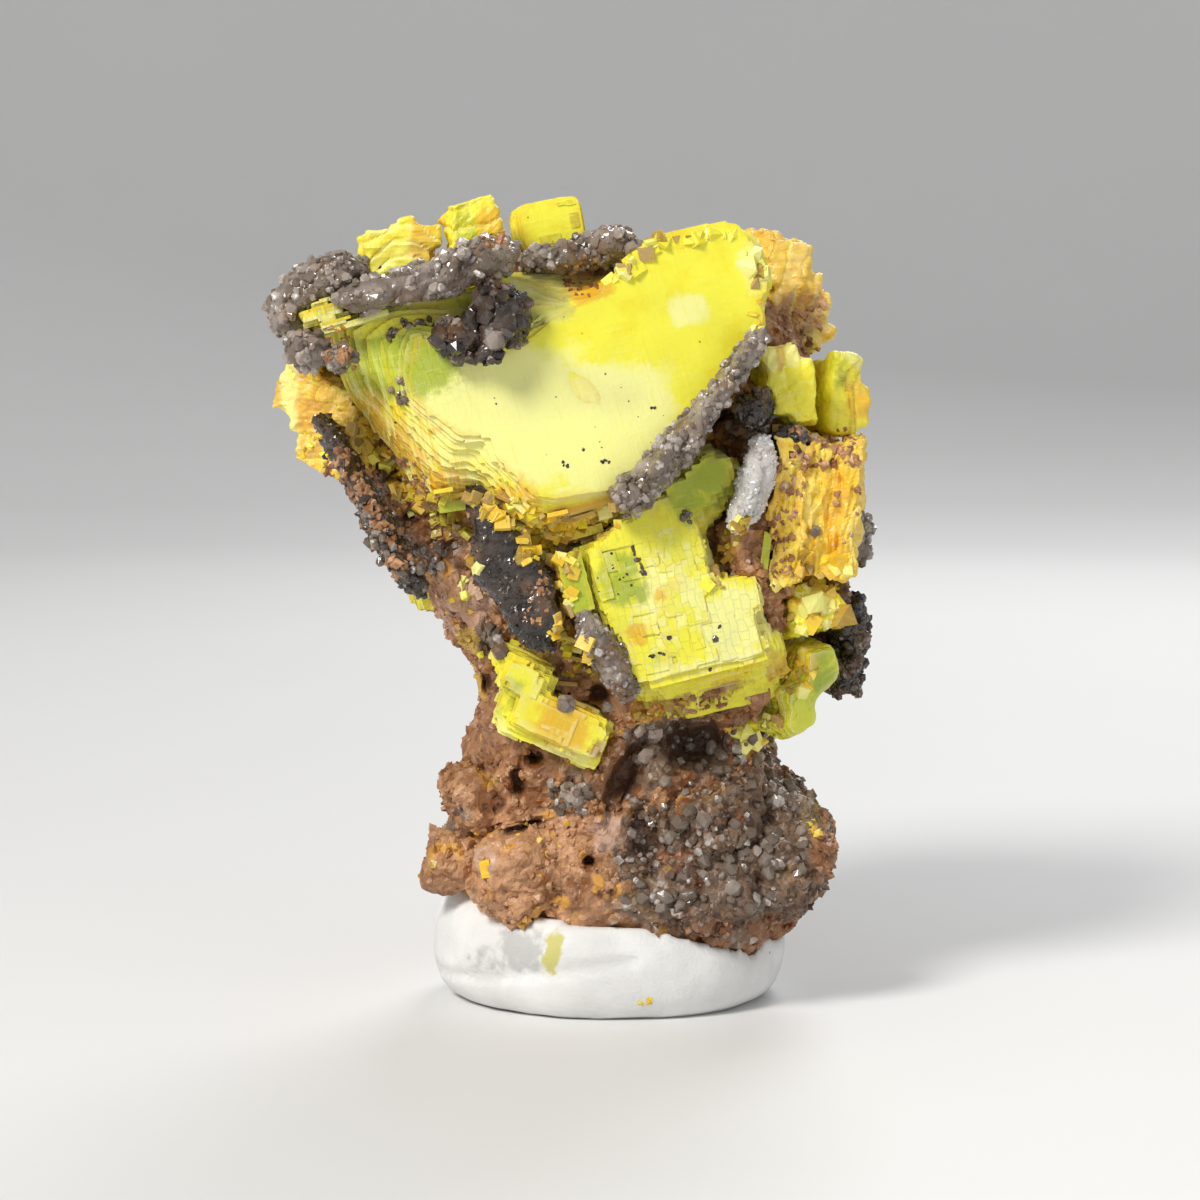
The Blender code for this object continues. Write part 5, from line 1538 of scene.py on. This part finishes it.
def make_camera():
    lens = bpy.data.cameras.new("camera")
    lens.lens = LENS
    lens.sensor_width = SENSOR
    lens.clip_start = 0.005
    lens.clip_end = 5.0
    camera = bpy.data.objects.new("camera", lens)
    bpy.context.scene.collection.objects.link(camera)
    tilt = math.radians(LOOK_DOWN)
    back = Vector((0, -math.cos(tilt), math.sin(tilt)))
    camera.location = (AIM + back * (FRAME_WIDTH * LENS / SENSOR)) * MM
    camera.rotation_euler = (-back).to_track_quat("-Z", "Y").to_euler()
    bpy.context.scene.camera = camera


def main():
    make_camera()
    make_lights()
    make_stage()
    finishes = {
        "lemon_crystal": crystal_finish("lemon_uranocircite", LEMON, YELLOW),
        "yellow_crystal": crystal_finish("yellow_uranocircite", LEMON, YELLOW),
        "greenish_crystal": crystal_finish("greenish_uranocircite", GREENISH, OLIVE),
        "orange_crystal": crystal_finish("golden_uranocircite", GOLD, AMBER),
        "smoky_quartz": quartz_finish("smoky_quartz", SMOKY, VIOLET_GREY, 0.5),
        "dark_quartz": quartz_finish("dark_quartz", NEAR_BLACK, DARK_SMOKY, 0.3),
        # The pale quartz of the sparkling druse: its milky white and full glints are partly a painted sheen.
        "pale_quartz": quartz_finish("pale_quartz", MILKY_SHEEN_GREY, MILKY_SHEEN_WHITE, 1.0),
        "rock": rock_finish("granular_rock"),
        "putty": putty_finish("white_putty"),
    }
    shapes = {kind: grain_shapes(kind + "_shapes", kind, 5) for kind in ("angular", "rounded", "point")}
    crust_tree = scatter_tree("crystal_crust", True)
    grain_tree = scatter_tree("loose_grains", False)
    bodies = []
    for row in frame["record"]["subparts"]:
        node, slot = row["node"], row["material_slot"]
        if node in MASSES:
            bodies.append(make_mass(node, finishes[slot]))
        elif slot.endswith("_crystal"):
            bodies.append(make_crystal(node, finishes[slot]))
        elif slot.endswith("_quartz"):
            bodies.append(make_quartz(node, finishes[slot], crust_tree, shapes))
    bodies += make_rock(finishes["rock"], grain_tree, shapes["angular"])
    bodies.append(make_putty(finishes["putty"]))
    bpy.context.view_layer.update()
    names = {body.name for body in bodies}
    for name, slot, kinds, shape in (
        ("loose_crystals", "yellow_crystal", ("tablet", "nugget", "block"), "angular"),
        ("loose_rock", "rock", ("grain",), "angular"),
        ("loose_quartz", "smoky_quartz", ("quartz",), "rounded"),
        ("dark_specks", "dark_quartz", ("flake",), "rounded"),
    ):
        make_crumbs(name, kinds, finishes[slot], shapes[shape].objects, names)
    for kept in shapes.values():
        for shape in list(kept.objects):
            bpy.data.objects.remove(shape)
        bpy.data.collections.remove(kept)


main()
